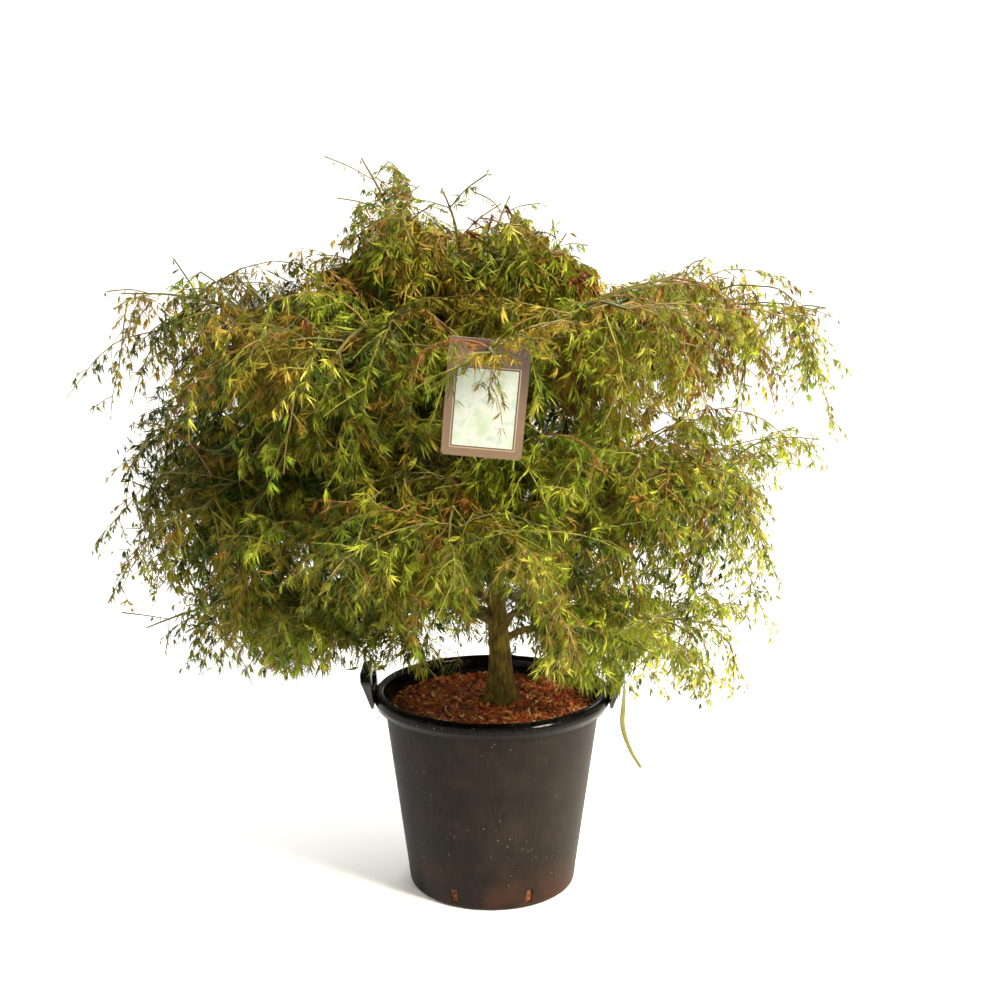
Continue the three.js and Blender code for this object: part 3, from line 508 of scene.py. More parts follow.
# white printing ink clouded with pale greens, in patches of about 30 mm
PANEL = grained("printed_panel", "#e8f2e4", 0.35, (34.0, 2.0),
                tones=[(0.34, "#889a91"), (0.45, "#a3a7a3"), (0.56, "#98a499"), (0.68, "#8f9c87")])
# flat printing ink on the card, satin like the card
PALE_INK, DARK_INK = (grained(name, colour, 0.4, (60.0, 3.0), rough=(0.32, 0.48))
                      for name, colour in (("pale_ink", "#937f6b"), ("dark_ink", "#2c2120")))
# soft PVC tape: yellow-green, smooth and slightly cloudy
TAPE = grained("pvc_tape", "#807a2f", 0.32, (45.0, 3.0), bump=(0.15, 0.001),
               tones=[(0.35, "#5c5a1e"), (0.7, "#77742f")])
PEAT = peat()
# composted pine bark: torn fibrous flakes, matt and damp in places
CHIPS = [grained("bark_" + name, colour, 0.85, (420.0, 4.0), (0.65, 0.95), (0.8, 0.0012))
         for name, colour in (("rust", "#96480f"), ("orange", "#bd6b19"), ("dark", "#55270c"),
                              ("red", "#b64c17"), ("pale", "#dcb07a"))]
# maple leaves: thin and soft, with a faint waxy sheen and fine veins about 1.5 mm apart
LEAF_TINTS = dict(deep_green="#36470d", olive="#6f6615", moss="#778020", grass="#8f9a2a",
                  fern="#6b801b", lime="#bab948", straw="#a08a34", bronze="#80671e",
                  rust="#7a541f", crimson="#7c3c24")
LEAVES = [grained("leaf_" + name, colour, 0.5, (650.0, 2.0), (0.42, 0.68), (0.25, 0.0006),
                  specular=0.2) for name, colour in LEAF_TINTS.items()]
# young maple wood of this year: smooth green to tan bark with a slight shine
TWIGS = [grained("twig_" + name, colour, 0.55, (240.0, 3.0), (0.45, 0.75), (0.3, 0.0008))
         for name, colour in (("olive", "#565219"), ("tan", "#7f6229"), ("rust", "#74431b"),
                              ("lime", "#7c7925"))]

# ---------------------------------------------------------------- trunk and boughs


def quadratic(points, share):
    a, b, c = (np.array(p, float) for p in points)
    t = np.asarray(share, float)[..., None]
    return a * (1 - t) ** 2 + 2 * b * t * (1 - t) + c * t ** 2


def cubic(points, share):
    a, b, c, d = points
    t = np.asarray(share, float)[..., None]
    return a * (1 - t) ** 3 + 3 * b * t * (1 - t) ** 2 + 3 * c * t ** 2 * (1 - t) + d * t ** 3


TRUNK_LINE = (TRUNK.foot, TRUNK.bend, TRUNK.head)


def trunk_point_at(height):
    shares = np.arange(0, 1.0001, 0.005)
    line = quadratic(TRUNK_LINE, shares)
    return line[np.argmax(line[:, 2] >= height)]


def plan_bough(name, fork, tip, heading, climb, tip_radius):
    start = trunk_point_at(fork)
    span = np.linalg.norm(tip - start)
    out = unit((tip - start) * [1, 1, 0])
    rising = out * math.cos(math.radians(climb)) + UP * math.sin(math.radians(climb))
    bend_end = tip - heading * BOUGH.straight
    curve = (start, start + rising * BOUGH.climb_share * span,
             bend_end - heading * BOUGH.arch_share * span, bend_end)
    base_radius = tip_radius + BOUGH.base_share * span
    points = np.vstack([cubic(curve, np.linspace(0, 1, 5)), tip])
    radii = mix(base_radius, tip_radius, np.arange(6) / 5)
    return Spec(name=name, curve=curve, points=points, radii=radii, tip=tip, heading=heading,
                base_radius=base_radius, tip_radius=tip_radius)


def plan_crown():
    """Every mass of foliage with its bough: four rings of them, and the one that holds the card."""
    crown = []
    for tier in TIERS:
        for i in range(tier.count):
            out = around(tier.turn + i * 360 / tier.count)
            x = tier.centre[0] + tier.radius * out[0]
            y = tier.centre[1] + tier.radius * out[1]
            z = tier.height + tier.rise * x + tier.lift * max(0, -y)
            pitch = math.radians(tier.pitch)
            heading = out * math.cos(pitch) + UP * math.sin(pitch)
            fork = tier.fork + ((i * 5) % tier.count) * tier.fork_step
            name = f"{tier.name}_{i + 1}"
            bough = plan_bough(name, fork, np.array([x, y, z]), heading, tier.climb,
                               BOUGH.tip_radius)
            crown.append(Spec(name=name, tier=tier.name, bough=bough, steps=tier.steps,
                              reach=tier.reach + tier.reach_slope * x, droop=tier.droop,
                              middle=tier.middle, seed=tier.seed + 7 * i))
    heading = np.array([0.0, -1.0, 0.0])
    tip = np.array(LABEL.hangs_at, float) + heading * LABEL.bough_past
    bough = plan_bough("front", LABEL.fork, tip, heading, LABEL.climb, LABEL.bough_radius)
    crown.append(Spec(name="front", tier="front", bough=bough, steps=LABEL.steps,
                      reach=LABEL.reach, droop=SHOOT.side_droop, middle=LABEL.middle,
                      seed=LABEL.seed))
    return crown


CROWN = plan_crown()
for mass in CROWN:
    mass.centre = (mass.bough.tip + mass.bough.heading * mass.middle[0] * mass.reach
                   - UP * mass.middle[1] * mass.reach)
LIMB_ENDS = []
for mass in CROWN:
    ends, radii = mass.bough.points, mass.bough.radii
    for i in range(len(ends) - 1):
        LIMB_ENDS.append((mass.name, ends[i], ends[i + 1], radii[i], radii[i + 1]))

# ---------------------------------------------------------------- the space a mass may use


def hem_at(points):
    x, y = points[:, 0], points[:, 1]
    share = np.hypot(x - HEM.dome_centre[0], y - HEM.dome_centre[1]) / HEM.dome_radius
    dome = np.where(share < 1, HEM.dome_lift * (1 - share ** 2), 0)
    away = np.hypot(x - HEM.dip_centre[0], y - HEM.dip_centre[1]) / HEM.dip_radius
    dip = np.where(away < 1, HEM.dip_depth * (1 - away ** 2), 0)
    return HEM.side - HEM.tilt * x + HEM.front_lift * np.maximum(0, -y) + dome - dip


def label_matrix():
    roll, kick = math.radians(LABEL.roll), math.radians(LABEL.kick)
    turn = np.array([[math.cos(roll), 0, math.sin(roll)], [0, 1, 0],
                     [-math.sin(roll), 0, math.cos(roll)]])
    tilt = np.array([[1, 0, 0], [0, math.cos(kick), -math.sin(kick)],
                     [0, math.sin(kick), math.cos(kick)]])
    return turn @ tilt


LABEL_TURN = label_matrix()


def on_card(points):
    """The points in the card's own frame, from its punched hole."""
    return (points - np.array(LABEL.hangs_at)) @ LABEL_TURN


def touches_fittings(points, radius):
    away = np.hypot(points[:, 0], points[:, 1])
    rim = (away < POT.lip_radius + radius) & (points[:, 2] < POT.height + radius)
    x = np.abs(points[:, 0])
    by_handle = ((np.abs(points[:, 1]) < HANDLE.width / 2 + FITTING_ROOM.aside + radius)
                 & (x < HANDLE.inner_face + FITTING_ROOM.outward + radius)
                 & (x > FITTING_ROOM.inner)
                 & (points[:, 2] < POT.height + HANDLE.above + FITTING_ROOM.above + radius))
    local = on_card(points)
    middle = LABEL.hole_drop - LABEL.height / 2
    room = FITTING_ROOM.label + radius
    card = ((np.abs(local[:, 0]) < LABEL.width / 2 + room)
            & (np.abs(local[:, 2] - middle) < LABEL.height / 2 + room)
            & (np.abs(local[:, 1]) < LABEL.thickness + room))
    return rim | by_handle | card


def before_card(points):
    """True in the clear space in front of the card, where only the front bough's leaves hang."""
    local = on_card(points)
    ahead = np.clip(-local[:, 1], 0, CARD_CLEARING.front)
    aside = LABEL.width / 2 + CARD_CLEARING.aside + CARD_CLEARING.widen * ahead
    above = LABEL.hole_drop + CARD_CLEARING.above + CARD_CLEARING.rise * ahead
    return ((np.abs(local[:, 0]) < aside) & (local[:, 2] < above)
            & (local[:, 2] > LABEL.hole_drop - LABEL.height - CARD_CLEARING.below)
            & (local[:, 1] < CARD_CLEARING.behind) & (local[:, 1] > -CARD_CLEARING.front))


def clear_of_card(mass, roots, tips, kind, rng):
    """False for what would hide the card, apart from a few of the front bough's own."""
    kept = (mass.tier == "front") & (rng.random(len(roots)) < BEFORE_CARD[kind])
    return kept | ~(before_card(roots) | before_card(tips))


def before_trunk(points):
    """True in the gap between the front sprays, where the foot of the trunk shows."""
    ahead = np.maximum(-points[:, 1], 0)
    aside = TRUNK_CLEARING.aside + TRUNK_CLEARING.widen * ahead
    top = TRUNK_CLEARING.top + TRUNK_CLEARING.rise * ahead
    return ((np.abs(points[:, 0] - TRUNK.foot[0]) < aside) & (points[:, 2] < top)
            & (ahead > TRUNK_CLEARING.ahead))


def touches_limbs(points, radius, but=None):
    hit = np.zeros(len(points), bool)
    for name, start, end, start_radius, end_radius in LIMB_ENDS:
        if name == but:
            continue
        line = end - start
        share = np.clip((points - start) @ line / (line @ line), 0, 1)
        gap = np.linalg.norm(points - start - share[:, None] * line, axis=1)
        hit |= gap < mix(start_radius, end_radius, share) + radius + ROOM
    return hit


def in_cell(mass, points, room):
    """True where a point is nearer to its mass than to any other, give or take the room."""
    inside = np.ones(len(points), bool)
    for other in CROWN:
        if other is not mass:
            normal = unit(other.centre - mass.centre)
            inside &= points @ normal < normal @ (other.centre + mass.centre) / 2 + room
    return inside


def stick_fits(mass, start, end, radius, but):
    samples = start + (end - start) * np.linspace(0, 1, 7)[:, None]
    if touches_limbs(samples, radius, but).any() or touches_fittings(samples, radius).any():
        return False
    ends = np.array([start, end])
    return bool(((ends[:, 2] > hem_at(ends)) & in_cell(mass, ends, -CELL_MARGIN)).all())


# ---------------------------------------------------------------- stems and side shoots


def grow_chain(seed, start, heading, length, steps, droop):
    joints, headings, way = [start], [heading], heading.copy()
    for i in range(1, steps + 1):
        if i > 1:
            stray = np.array([sway(seed, 3 * i + axis) for axis in range(3)])
            way = unit(way + SHOOT.wander * stray - UP * droop)
        joints.append(joints[-1] + way * length / steps)
        headings.append(way)
    return np.array(joints), np.array(headings)


def side_headings(seed, heading):
    level = unit(np.cross(heading, UP))
    roll = math.radians(SHOOT.tumble) * sway(seed, DRAW.roll)
    across = rotated(level, heading, np.array(roll))
    spread = math.radians(SHOOT.spread + SHOOT.spread_sway * sway(seed, DRAW.spread))
    return [heading * math.cos(spread) + across * hand * math.sin(spread) for hand in (1, -1)]


def fitting(mass, joints, radius, but=None):
    count = 1
    while count < len(joints) and stick_fits(mass, joints[count - 1], joints[count], radius, but):
        count += 1
    return joints[:count]


def grow_shoots(mass):
    """The stem of a mass and its side shoots, each with its joints and its two end radii."""
    bough = mass.bough
    joints, headings = grow_chain(mass.seed, bough.tip, bough.heading, mass.reach, mass.steps,
                                  mass.droop)
    stem = fitting(mass, joints, SHOOT.stem_radius, mass.name)
    radii = mix(SHOOT.stem_radius, SHOOT.tip_radius, np.arange(mass.steps + 1) / mass.steps)
    shoots = [Spec(joints=stem, first=min(SHOOT.stem_radius, bough.tip_radius),
                   last=radii[len(stem) - 1])]
    for k in range(len(stem) - 1):
        seed = mass.seed * SEED.mass + k * SEED.joint
        start = mix(stem[k], stem[k + 1], SHOOT.pair_at)
        for hand, side in enumerate(side_headings(seed, headings[k + 1])):
            side_seed = seed + SEED.side * (hand + 1)
            full = mass.reach * SHOOT.side_share * (1 - SHOOT.shorten * k)
            length = full * (SHOOT.side_least + SHOOT.side_sway * chance(side_seed, DRAW.side))
            radius = SHOOT.side_radius * mix(radii[k], radii[k + 1], SHOOT.pair_at)
            chain, _ = grow_chain(side_seed, start, side, length, SHOOT.side_steps,
                                  SHOOT.side_droop)
            fits = fitting(mass, chain, radius)
            if len(fits) > 1:
                shoots.append(Spec(joints=fits, first=radius, last=SHOOT.tip_radius))
    return shoots


# ---------------------------------------------------------------- branchlets, sprigs and leaves


def starts_along(lines, spacing, rng):
    """Where finer growth leaves lines: points, headings along them, and shares of their length."""
    starts, alongs, shares = [], [], []
    for joints in lines:
        line = smooth_line(joints, CURVE_STEPS)
        lengths = np.linalg.norm(np.diff(line, axis=0), axis=1)
        reach = np.concatenate([[0], np.cumsum(lengths)])
        count = max(2, int(reach[-1] / spacing))
        at = (np.arange(count) + 0.35 + 0.5 * rng.random(count)) / count * reach[-1]
        at = np.minimum(np.append(at, reach[-1]), reach[-1] * 0.999)
        index = np.searchsorted(reach, at, side="right") - 1
        part = (at - reach[index]) / lengths[index]
        starts.append(mix(line[index], line[index + 1], part[:, None]))
        alongs.append(unit(line[index + 1] - line[index]))
        shares.append(at / reach[-1])
    return np.vstack(starts), np.vstack(alongs), np.concatenate(shares)


def leave_sideways(alongs, hands, growth, rng, close=1.0):
    """Headings of finer growth that leaves on the hands given and turns down by its weight."""
    count = len(alongs)
    level = unit(np.cross(alongs, UP) + 1e-3)
    roll = np.radians(growth.tumble) * (2 * rng.random(count) - 1)
    across = rotated(level, alongs, roll) * hands[:, None]
    spread = np.radians(mix(*growth.spread, rng.random(count))) * close
    way = alongs * np.cos(spread)[:, None] + across * np.sin(spread)[:, None]
    return unit(way - UP * mix(*growth.hang, rng.random(count))[:, None])


def grow_lines(starts, ways, lengths, growth, rng):
    """Lines of joints (n, steps + 1, 3) that wander and droop as they grow."""
    count, steps = len(starts), growth.steps
    droop = mix(*growth.droop, rng.random(count))[:, None] * UP
    joints = [starts]
    for i in range(steps):
        if i > 0:
            ways = unit(ways + growth.wander * (2 * rng.random((count, 3)) - 1) - droop)
        joints.append(joints[-1] + ways * (lengths / steps)[:, None])
    return np.stack(joints, axis=1)


def distance_out(points):
    return np.maximum(np.hypot(*(points - CROWN_CENTRE).T[:2]), 1)


def edge_at(points, edge):
    """How far out an edge of the crown is, in the direction and at the height of each point."""
    toward = (points - CROWN_CENTRE) / distance_out(points)[:, None]
    return (mix(np.interp(points[:, 2], edge.height, edge.left),
                np.interp(points[:, 2], edge.height, edge.right), (1 + toward[:, 0]) / 2)
            + edge.front * np.clip(-toward[:, 1], 0, 1) ** 3)


def in_room(mass, points, room, clear, above=0.0):
    """True where a point keeps to its mass, the hem, the box of the crown and the fittings."""
    low, high = np.array(CAD_BOX) * 1000
    inside = np.all((points > low - BOX_ROOM) & (points < high + BOX_ROOM), axis=1)
    inside &= points[:, 2] > hem_at(points) - HEM_ROOM
    top = np.interp(points[:, 0], TOP.at, TOP.height) - TOP.fall * np.abs(points[:, 1])
    inside &= (points[:, 2] < top + above) & (distance_out(points) < edge_at(points, REACH))
    inside &= in_cell(mass, points, room)
    return inside & ~touches_fittings(points, clear) & ~before_trunk(points)


def middles_and_tips(mass, joints, growth):
    """The middles and tips of lines, and which lines keep to the room of their mass."""
    middles, tips = joints[:, growth.steps // 2], joints[:, -1]
    fits = in_room(mass, middles, CELL_ROOM, TWIG_ROOM) & in_room(mass, tips, CELL_ROOM, TWIG_ROOM)
    return middles, tips, fits


def outwardness(points):
    """0 at the middle of the crown and 1 at its outline."""
    return np.clip(np.linalg.norm((points - CROWN_CENTRE) / CROWN_RADII, axis=1), 0, 1)


def sparseness(points):
    """0 in the body of the crown and 1 where its outline has thinned to single sprays."""
    away, edge, last = distance_out(points), edge_at(points, BODY), edge_at(points, REACH)
    return np.clip((away - edge) / (last - edge), 0, 1) ** THIN.power


def grow_branchlets(mass, shoots, rng):
    """Arching branchlets on both hands of the shoots and of the outer half of the bough."""
    bough = mass.bough
    inner = cubic(bough.curve, np.linspace(BRANCHLET.from_bough, 1, 5))
    lines = [shoot.joints for shoot in shoots] + [inner] * (mass.tier != "front")
    starts, alongs, shares = starts_along(lines, BRANCHLET.spacing, rng)
    hands = np.repeat([1.0, -1.0], len(starts))
    starts, alongs, shares = np.tile(starts, (2, 1)), np.tile(alongs, (2, 1)), np.tile(shares, 2)
    close = np.where(shares > 0.99, BRANCHLET.end_spread, 1)
    ways = leave_sideways(alongs, hands, BRANCHLET, rng, close)
    lengths = mix(*BRANCHLET.length, rng.random(len(starts)))
    lengths = lengths * (1 - THIN.shorter * sparseness(starts)) * TIER_SHARE.get(mass.tier, 1.0)
    joints = grow_lines(starts, ways, lengths, BRANCHLET, rng)
    middles, tips, fits = middles_and_tips(mass, joints, BRANCHLET)
    fits &= ~touches_limbs(middles, 1) & clear_of_card(mass, middles, tips, "branchlets", rng)
    fits &= rng.random(len(starts)) > THIN.lost * sparseness(tips)
    return joints[fits]


def grow_whips(mass, shoots, rng):
    """Long thin shoots past the ends of the others, which carry few leaves."""
    ends = np.array([shoot.joints[-1] for shoot in shoots])
    alongs = unit(ends - np.array([shoot.joints[-2] for shoot in shoots]))
    outer = (sparseness(ends) > WHIP.where) & (rng.random(len(ends)) < WHIP.share)
    ends, alongs = ends[outer], alongs[outer]
    if not len(ends):
        return np.empty((0, WHIP.steps + 1, 3))
    hands = np.sign(rng.random(len(ends)) - 0.5)
    ways = leave_sideways(alongs, hands, WHIP, rng)
    lengths = mix(*WHIP.length, rng.random(len(ends)))
    joints = grow_lines(ends, ways, lengths, WHIP, rng)
    middles, tips, fits = middles_and_tips(mass, joints, WHIP)
    return joints[fits & ~before_card(middles) & ~before_card(tips)]


def at_joints(lines, places):
    """Points, headings, hands and line numbers at each (joint, step, hand) of lines."""
    ways = unit(np.diff(lines, axis=1))
    return (np.vstack([lines[:, joint] for joint, _, _ in places]),
            np.vstack([ways[:, step] for _, step, _ in places]),
            np.repeat([float(hand) for _, _, hand in places], len(lines)),
            np.tile(np.arange(len(lines)), len(places)))


def grow_sprigs(mass, branchlets, rng):
    """Short side twigs in pairs on the branchlets, and the branchlet that each grows on."""
    starts, alongs, hands, owners = at_joints(
        branchlets, [(joint, joint, hand) for joint in SPRIG.joints for hand in (1, -1)])
    keep = rng.random(len(starts)) > SPRIG.lost + THIN.sprigs * sparseness(starts)
    starts, alongs, hands, owners = (a[keep] for a in (starts, alongs, hands, owners))
    ways = leave_sideways(alongs, hands, SPRIG, rng)
    lengths = mix(*SPRIG.length, rng.random(len(starts)))
    lengths *= 1 - THIN.shorter_sprigs * sparseness(starts)
    joints = grow_lines(starts, ways, lengths, SPRIG, rng)
    tips = joints[:, -1]
    fits = in_room(mass, tips, CELL_ROOM, TWIG_ROOM)
    fits &= clear_of_card(mass, starts, tips, "sprigs", rng)
    return joints[fits], owners[fits]


def leaf_shape(lobe_count, spread, droop, rng):
    """One leaf in its own frame: the stalk along +X, then narrow lobes like a hand."""
    stalk = LEAF.petiole
    points = [(0, 0.5, 0), (0, -0.5, 0), (stalk, 0, 0)]
    faces = [(0, 1, 2)]
    angles = (np.linspace(-spread, spread, lobe_count)
              + rng.uniform(-LEAF.angle_sway, LEAF.angle_sway, lobe_count))
    for i, angle in enumerate(angles):
        turn = math.radians(angle)
        length = LEAF.lobe * (1 - LEAF.outer_shorter * abs(angle / spread) ** 1.5)
        length *= rng.uniform(*LEAF.lobe_sway)
        ahead = np.array([math.cos(turn), math.sin(turn), 0])
        aside = np.array([-math.sin(turn), math.cos(turn), 0])
        curl = droop * rng.uniform(*LEAF.curl)
        base = len(points)
        outer = i < 2 or i > lobe_count - 3  # an outer lobe is one blade, the middle ones two
        sides = [(LEAF.widest - 0.06, -LEAF.half_width), (1.0, 0.0)]
        sides += [] if outer else [(LEAF.widest + 0.06, LEAF.half_width)]
        for share, offset in sides:
            flat = ahead * length * share * (1 - 0.12 * curl * share) + aside * offset
            points.append(tuple(flat + [stalk, 0, -curl * length * share ** 2]))
        faces += [(2, base + k, base + k + 1) for k in range(len(sides) - 1)]
    return np.array(points, float), np.array(faces)


def leaf_places(joints, rng):
    """Roots, axes and sizes of the leaves on twigs: a pair at each joint and one at the tip."""
    tip = joints.shape[1] - 1
    places = [(i, i - 1, hand) for i in range(1, tip) for hand in (1, -1)] + [(tip, tip - 1, 0)]
    roots, heads, hands, owners = at_joints(joints, places)
    total = len(roots)
    out = unit((roots - CROWN_CENTRE) * [1, 1, 0] + 1e-3)
    across = unit(np.cross(heads, UP) + 0.25 * rng.standard_normal((total, 3)))
    main = unit(LEAF_AIM.along * heads + LEAF_AIM.aside * across * hands[:, None]
                + LEAF_AIM.outward * out - LEAF_AIM.down * UP
                + LEAF_AIM.sway * rng.standard_normal((total, 3)))
    facing = unit(out + LEAF_AIM.face_up * UP
                  + LEAF_AIM.face_sway * rng.standard_normal((total, 3)))
    side = unit(np.cross(facing, main))
    sizes = rng.uniform(*LEAF.size, total) * (1 - THIN.smaller * sparseness(roots))
    return roots, main, side, sizes, owners


def tint_weights(places):
    """How likely each tint is for a spray, by where it hangs in the crown; the weights also paint
    light and shade.
    """
    x, y, z = places.T
    high = np.clip((z - 750) / 600, 0, 1)
    low = np.clip((850 - z) / 350, 0, 1)
    # painted shade on the left, and painted light on the right, where the key lamp falls
    left = np.clip(-(x + 100) / 450, 0, 1)
    right = np.clip((x - 20) / 400, 0, 1)
    outer = outwardness(places) ** 2
    weights = dict(
        # painted shade: deep green and olive gather in the middle of the crown and on its left
        deep_green=2.4 * (1 - outer) + 2.7 * left * (1 - 0.6 * high),
        olive=(0.9 + 2.0 * left + 0.6 * (1 - outer)) * (1 - 0.5 * right),
        moss=1.4 - 0.7 * left,
        # painted light: grass green gathers on the right
        grass=0.45 + 1.6 * right + 0.7 * low,
        fern=0.3 + 2.2 * low * (1 - 0.6 * right) * (1 - 0.3 * left),
        # painted light: lime gathers on the right and the outside of the crown, most of all low
        # down
        lime=0.1 + 1.2 * right * outer + (0.5 + 4.0 * right) * low * outer,
        straw=0.12 + 0.4 * right * high + 0.5 * high,
        bronze=0.2 + 0.9 * high ** 2 + 0.5 * left * high,
        rust=0.06 + 0.3 * high ** 2 + 0.03 * left + 0.12 * right * high,
        crimson=0.01 + 0.04 * high)
    return np.stack([weights[name] for name in LEAF_TINTS], axis=1)


def tint_of(places, rng):
    bounds = np.cumsum(tint_weights(places), axis=1)
    pick = rng.random(len(places))[:, None] * bounds[:, -1:]
    return np.argmax(pick < bounds, axis=1)


SHAPES = [leaf_shape(count, LEAF.spread * opened, LEAF.droop * curled,
                     np.random.default_rng(100 + i))
          for i, (count, opened, curled) in enumerate(LEAF_KINDS)]


def leaf_mesh(mass, joints, line_tints, rng, above=0.0):
    """All leaves on lines of one kind: points, faces and a tint for each face."""
    roots, main, side, sizes, owners = leaf_places(joints, rng)
    tips = roots + main * (0.9 * (LEAF.petiole + LEAF.lobe) * sizes)[:, None]
    fits = in_room(mass, tips, CELL_ROOM + LEAF.lobe, LEAF_ROOM, above)
    fits &= rng.random(len(roots)) > THIN.leaves * sparseness(tips)
    fits &= clear_of_card(mass, roots, tips, "leaves", rng)
    roots, main, side, sizes, owners = (part[fits] for part in (roots, main, side, sizes, owners))
    tints = line_tints[owners]
    axes = np.stack([main, side, np.cross(main, side)], axis=1)
    shape_of = rng.integers(0, len(SHAPES), len(roots))
    parts, face_tints = [], []
    for i, (points, faces) in enumerate(SHAPES):
        chosen = shape_of == i
        count = int(chosen.sum())
        placed = (np.einsum("pk,nkj->npj", points, axes[chosen]) * sizes[chosen][:, None, None]
                  + roots[chosen][:, None, :])
        offsets = (np.arange(count) * len(points))[:, None, None]
        parts.append((placed.reshape(-1, 3), (faces[None] + offsets).reshape(-1, 3)))
        face_tints.append(np.repeat(tints[chosen], len(faces)))
    points, faces = joined(parts)
    return points, faces, np.concatenate(face_tints)


def stem_joints(shoot):
    """The six places where leaves sit on a shoot itself."""
    line = smooth_line(shoot.joints, CURVE_STEPS)
    return line[np.linspace(0, CURVE_STEPS * (len(shoot.joints) - 1), 6).astype(int)]


def grow_mass(mass):
    """One mass of foliage: its twigs and its leaves as (points, faces), and their faces' tints."""
    rng = np.random.default_rng(mass.seed)
    shoots = grow_shoots(mass)
    branchlets = grow_branchlets(mass, shoots, rng)
    whips = grow_whips(mass, shoots, rng)
    bearers = np.concatenate([branchlets, whips])
    sprigs, owners = grow_sprigs(mass, bearers, rng)
    spray = tint_of(bearers[:, BRANCHLET.steps // 2], rng)
    own = tint_of(sprigs[:, -1], rng)
    sprig_tints = np.where(rng.random(len(sprigs)) < SPRIG.like_spray, spray[owners], own)
    stems = np.array([stem_joints(shoot) for shoot in shoots])
    leaves = [leaf_mesh(mass, bearers, spray, rng), leaf_mesh(mass, sprigs, sprig_tints, rng),
              leaf_mesh(mass, stems, tint_of(stems[:, -1], rng), rng, TOP.stem_leaves)]
    points, faces = joined([part[:2] for part in leaves])
    twigs, tints = [], []
    for shoot in shoots:
        line = smooth_line(shoot.joints, 4)
        radii = mix(shoot.first, shoot.last, np.linspace(0, 1, len(line)))
        twigs.append(tubes(line[None], radii[None], 6))
        tints.append(np.full(len(twigs[-1][1]), 0))
    for lines, growth in ((branchlets, BRANCHLET), (sprigs, SPRIG), (whips, WHIP)):
        radii = mix(growth.radius, growth.tip_radius, np.linspace(0, 1, lines.shape[1]))
        twigs.append(tubes(lines, np.tile(radii, (len(lines), 1)), 3))
        tint = rng.choice(len(TWIGS), len(lines), p=growth.bark)
        tints.append(np.repeat(tint, (lines.shape[1] - 1) * 3))
    return dict(mass=mass, leaves=(points, faces), twigs=joined(twigs),
                leaf_tints=np.concatenate([part[2] for part in leaves]),
                twig_tints=np.concatenate(tints))


def grouped(grown, size_of, limit):
    """Neighbouring masses put together, as many as the limit of triangles allows."""
    groups, size = [[]], 0
    for item in grown:
        if size + size_of(item) > limit:
            groups.append([])
            size = 0
        groups[-1].append(item)
        size += size_of(item)
    return groups


def build_foliage():
    """The crown: leaves and twigs of every mass, joined into pieces of their own kind."""
    grown = [grow_mass(mass) for mass in CROWN]
    for kind, tint, per_face, materials, slot, smooth in (
            ("leaves", "leaf_tints", 1, LEAVES, "foliage_green", False),
            ("twigs", "twig_tints", 2, TWIGS, "bark", True)):
        groups = grouped(grown, lambda item: len(item[kind][1]) * per_face, PIECE_TRIANGLES)
        for number, group in enumerate(groups):
            points, faces = joined([item[kind] for item in group])
            tints = np.concatenate([item[tint] for item in group])
            piece = add_piece(f"{kind}_{number + 1}", points, faces, materials, tints, smooth)
            stands_for(piece, slot, *["foliage_" + item["mass"].name for item in group])


# ---------------------------------------------------------------- wood


def relief(points, scale, depth):
    """How far bark stands proud at each point, in mm."""
    scaled = np.asarray(points) * [scale, scale, scale * 0.3]
    return depth * np.array([noise.fractal(Vector(p), 1.0, 2.0, 4) for p in scaled])


def build_trunk():
    sides, rings = 40, 90
    shares = np.linspace(0, 1, rings) ** 1.5
    line = quadratic(TRUNK_LINE, shares)
    height = shares * (TRUNK.head[2] - TRUNK.foot[2])
    radius = (mix(TRUNK.foot_radius, TRUNK.head_radius, shares)
              + TRUNK.flare * np.exp(-height / TRUNK.flare_height))
    ridge = TRUNK.ridge_share * np.exp((TRUNK.foot[2] - line[:, 2]) / TRUNK.flare_height)
    turn = ring_turns(sides)
    swell = 1 + ridge[:, None] * np.cos(TRUNK.ridges * (np.pi / 2 - turn))
    points = np.empty((rings, sides, 3))
    points[..., 0] = line[:, None, 0] + radius[:, None] * swell * np.cos(turn)
    points[..., 1] = line[:, None, 1] - radius[:, None] * swell * np.sin(turn)
    points[..., 2] = line[:, None, 2]
    out = unit((points - line[:, None]).reshape(-1, 3))
    points = points.reshape(-1, 3)
    points = points + out * relief(points, *TRUNK.grain)[:, None]
    top = line[-1] + [0, 0, 3]
    ring = np.arange((rings - 1) * sides, rings * sides)
    cap = np.stack([ring, np.roll(ring, -1), np.full(sides, len(points))], axis=1)
    trunk = add_piece("trunk_wood", np.vstack([points, top]), [tube_faces(1, rings, sides), cap],
                      [TRUNK_BARK])
    stands_for(trunk, "bark", "trunk")


def build_boughs():
    sides, parts = 12, []
    for mass in CROWN:
        bough = mass.bough
        line = np.vstack([cubic(bough.curve, np.linspace(0, 1, 26)), bough.tip])
        radii = mix(bough.base_radius, bough.tip_radius, np.linspace(0, 1, len(line)))
        points, faces = tubes(line[None], radii[None], sides)
        out = unit(points - np.repeat(line, sides, axis=0))
        knotted = np.sin(np.arange(len(line)) * 1.7 + mass.seed) > 0.85
        knots = 1 + 0.5 * np.repeat(knotted, sides)
        parts.append((points + out * (relief(points, *BOUGH.grain) * knots)[:, None], faces))
    boughs = add_piece("boughs_wood", *joined(parts), [BOUGH_BARK])
    stands_for(boughs, "bark", *["bough_" + mass.name for mass in CROWN])


# ---------------------------------------------------------------- tub and soil


def wall_radius(height):
    share = (height - POT.foot_round) / (POT.height - POT.lip_depth - POT.foot_round)
    return mix(POT.base_radius, POT.mouth_radius, share)


def arc(centre, radius, start, end, steps):
    angles = np.radians(np.linspace(start, end, steps + 1))
    return [(centre[0] + radius * math.cos(a), centre[1] + radius * math.sin(a)) for a in angles]


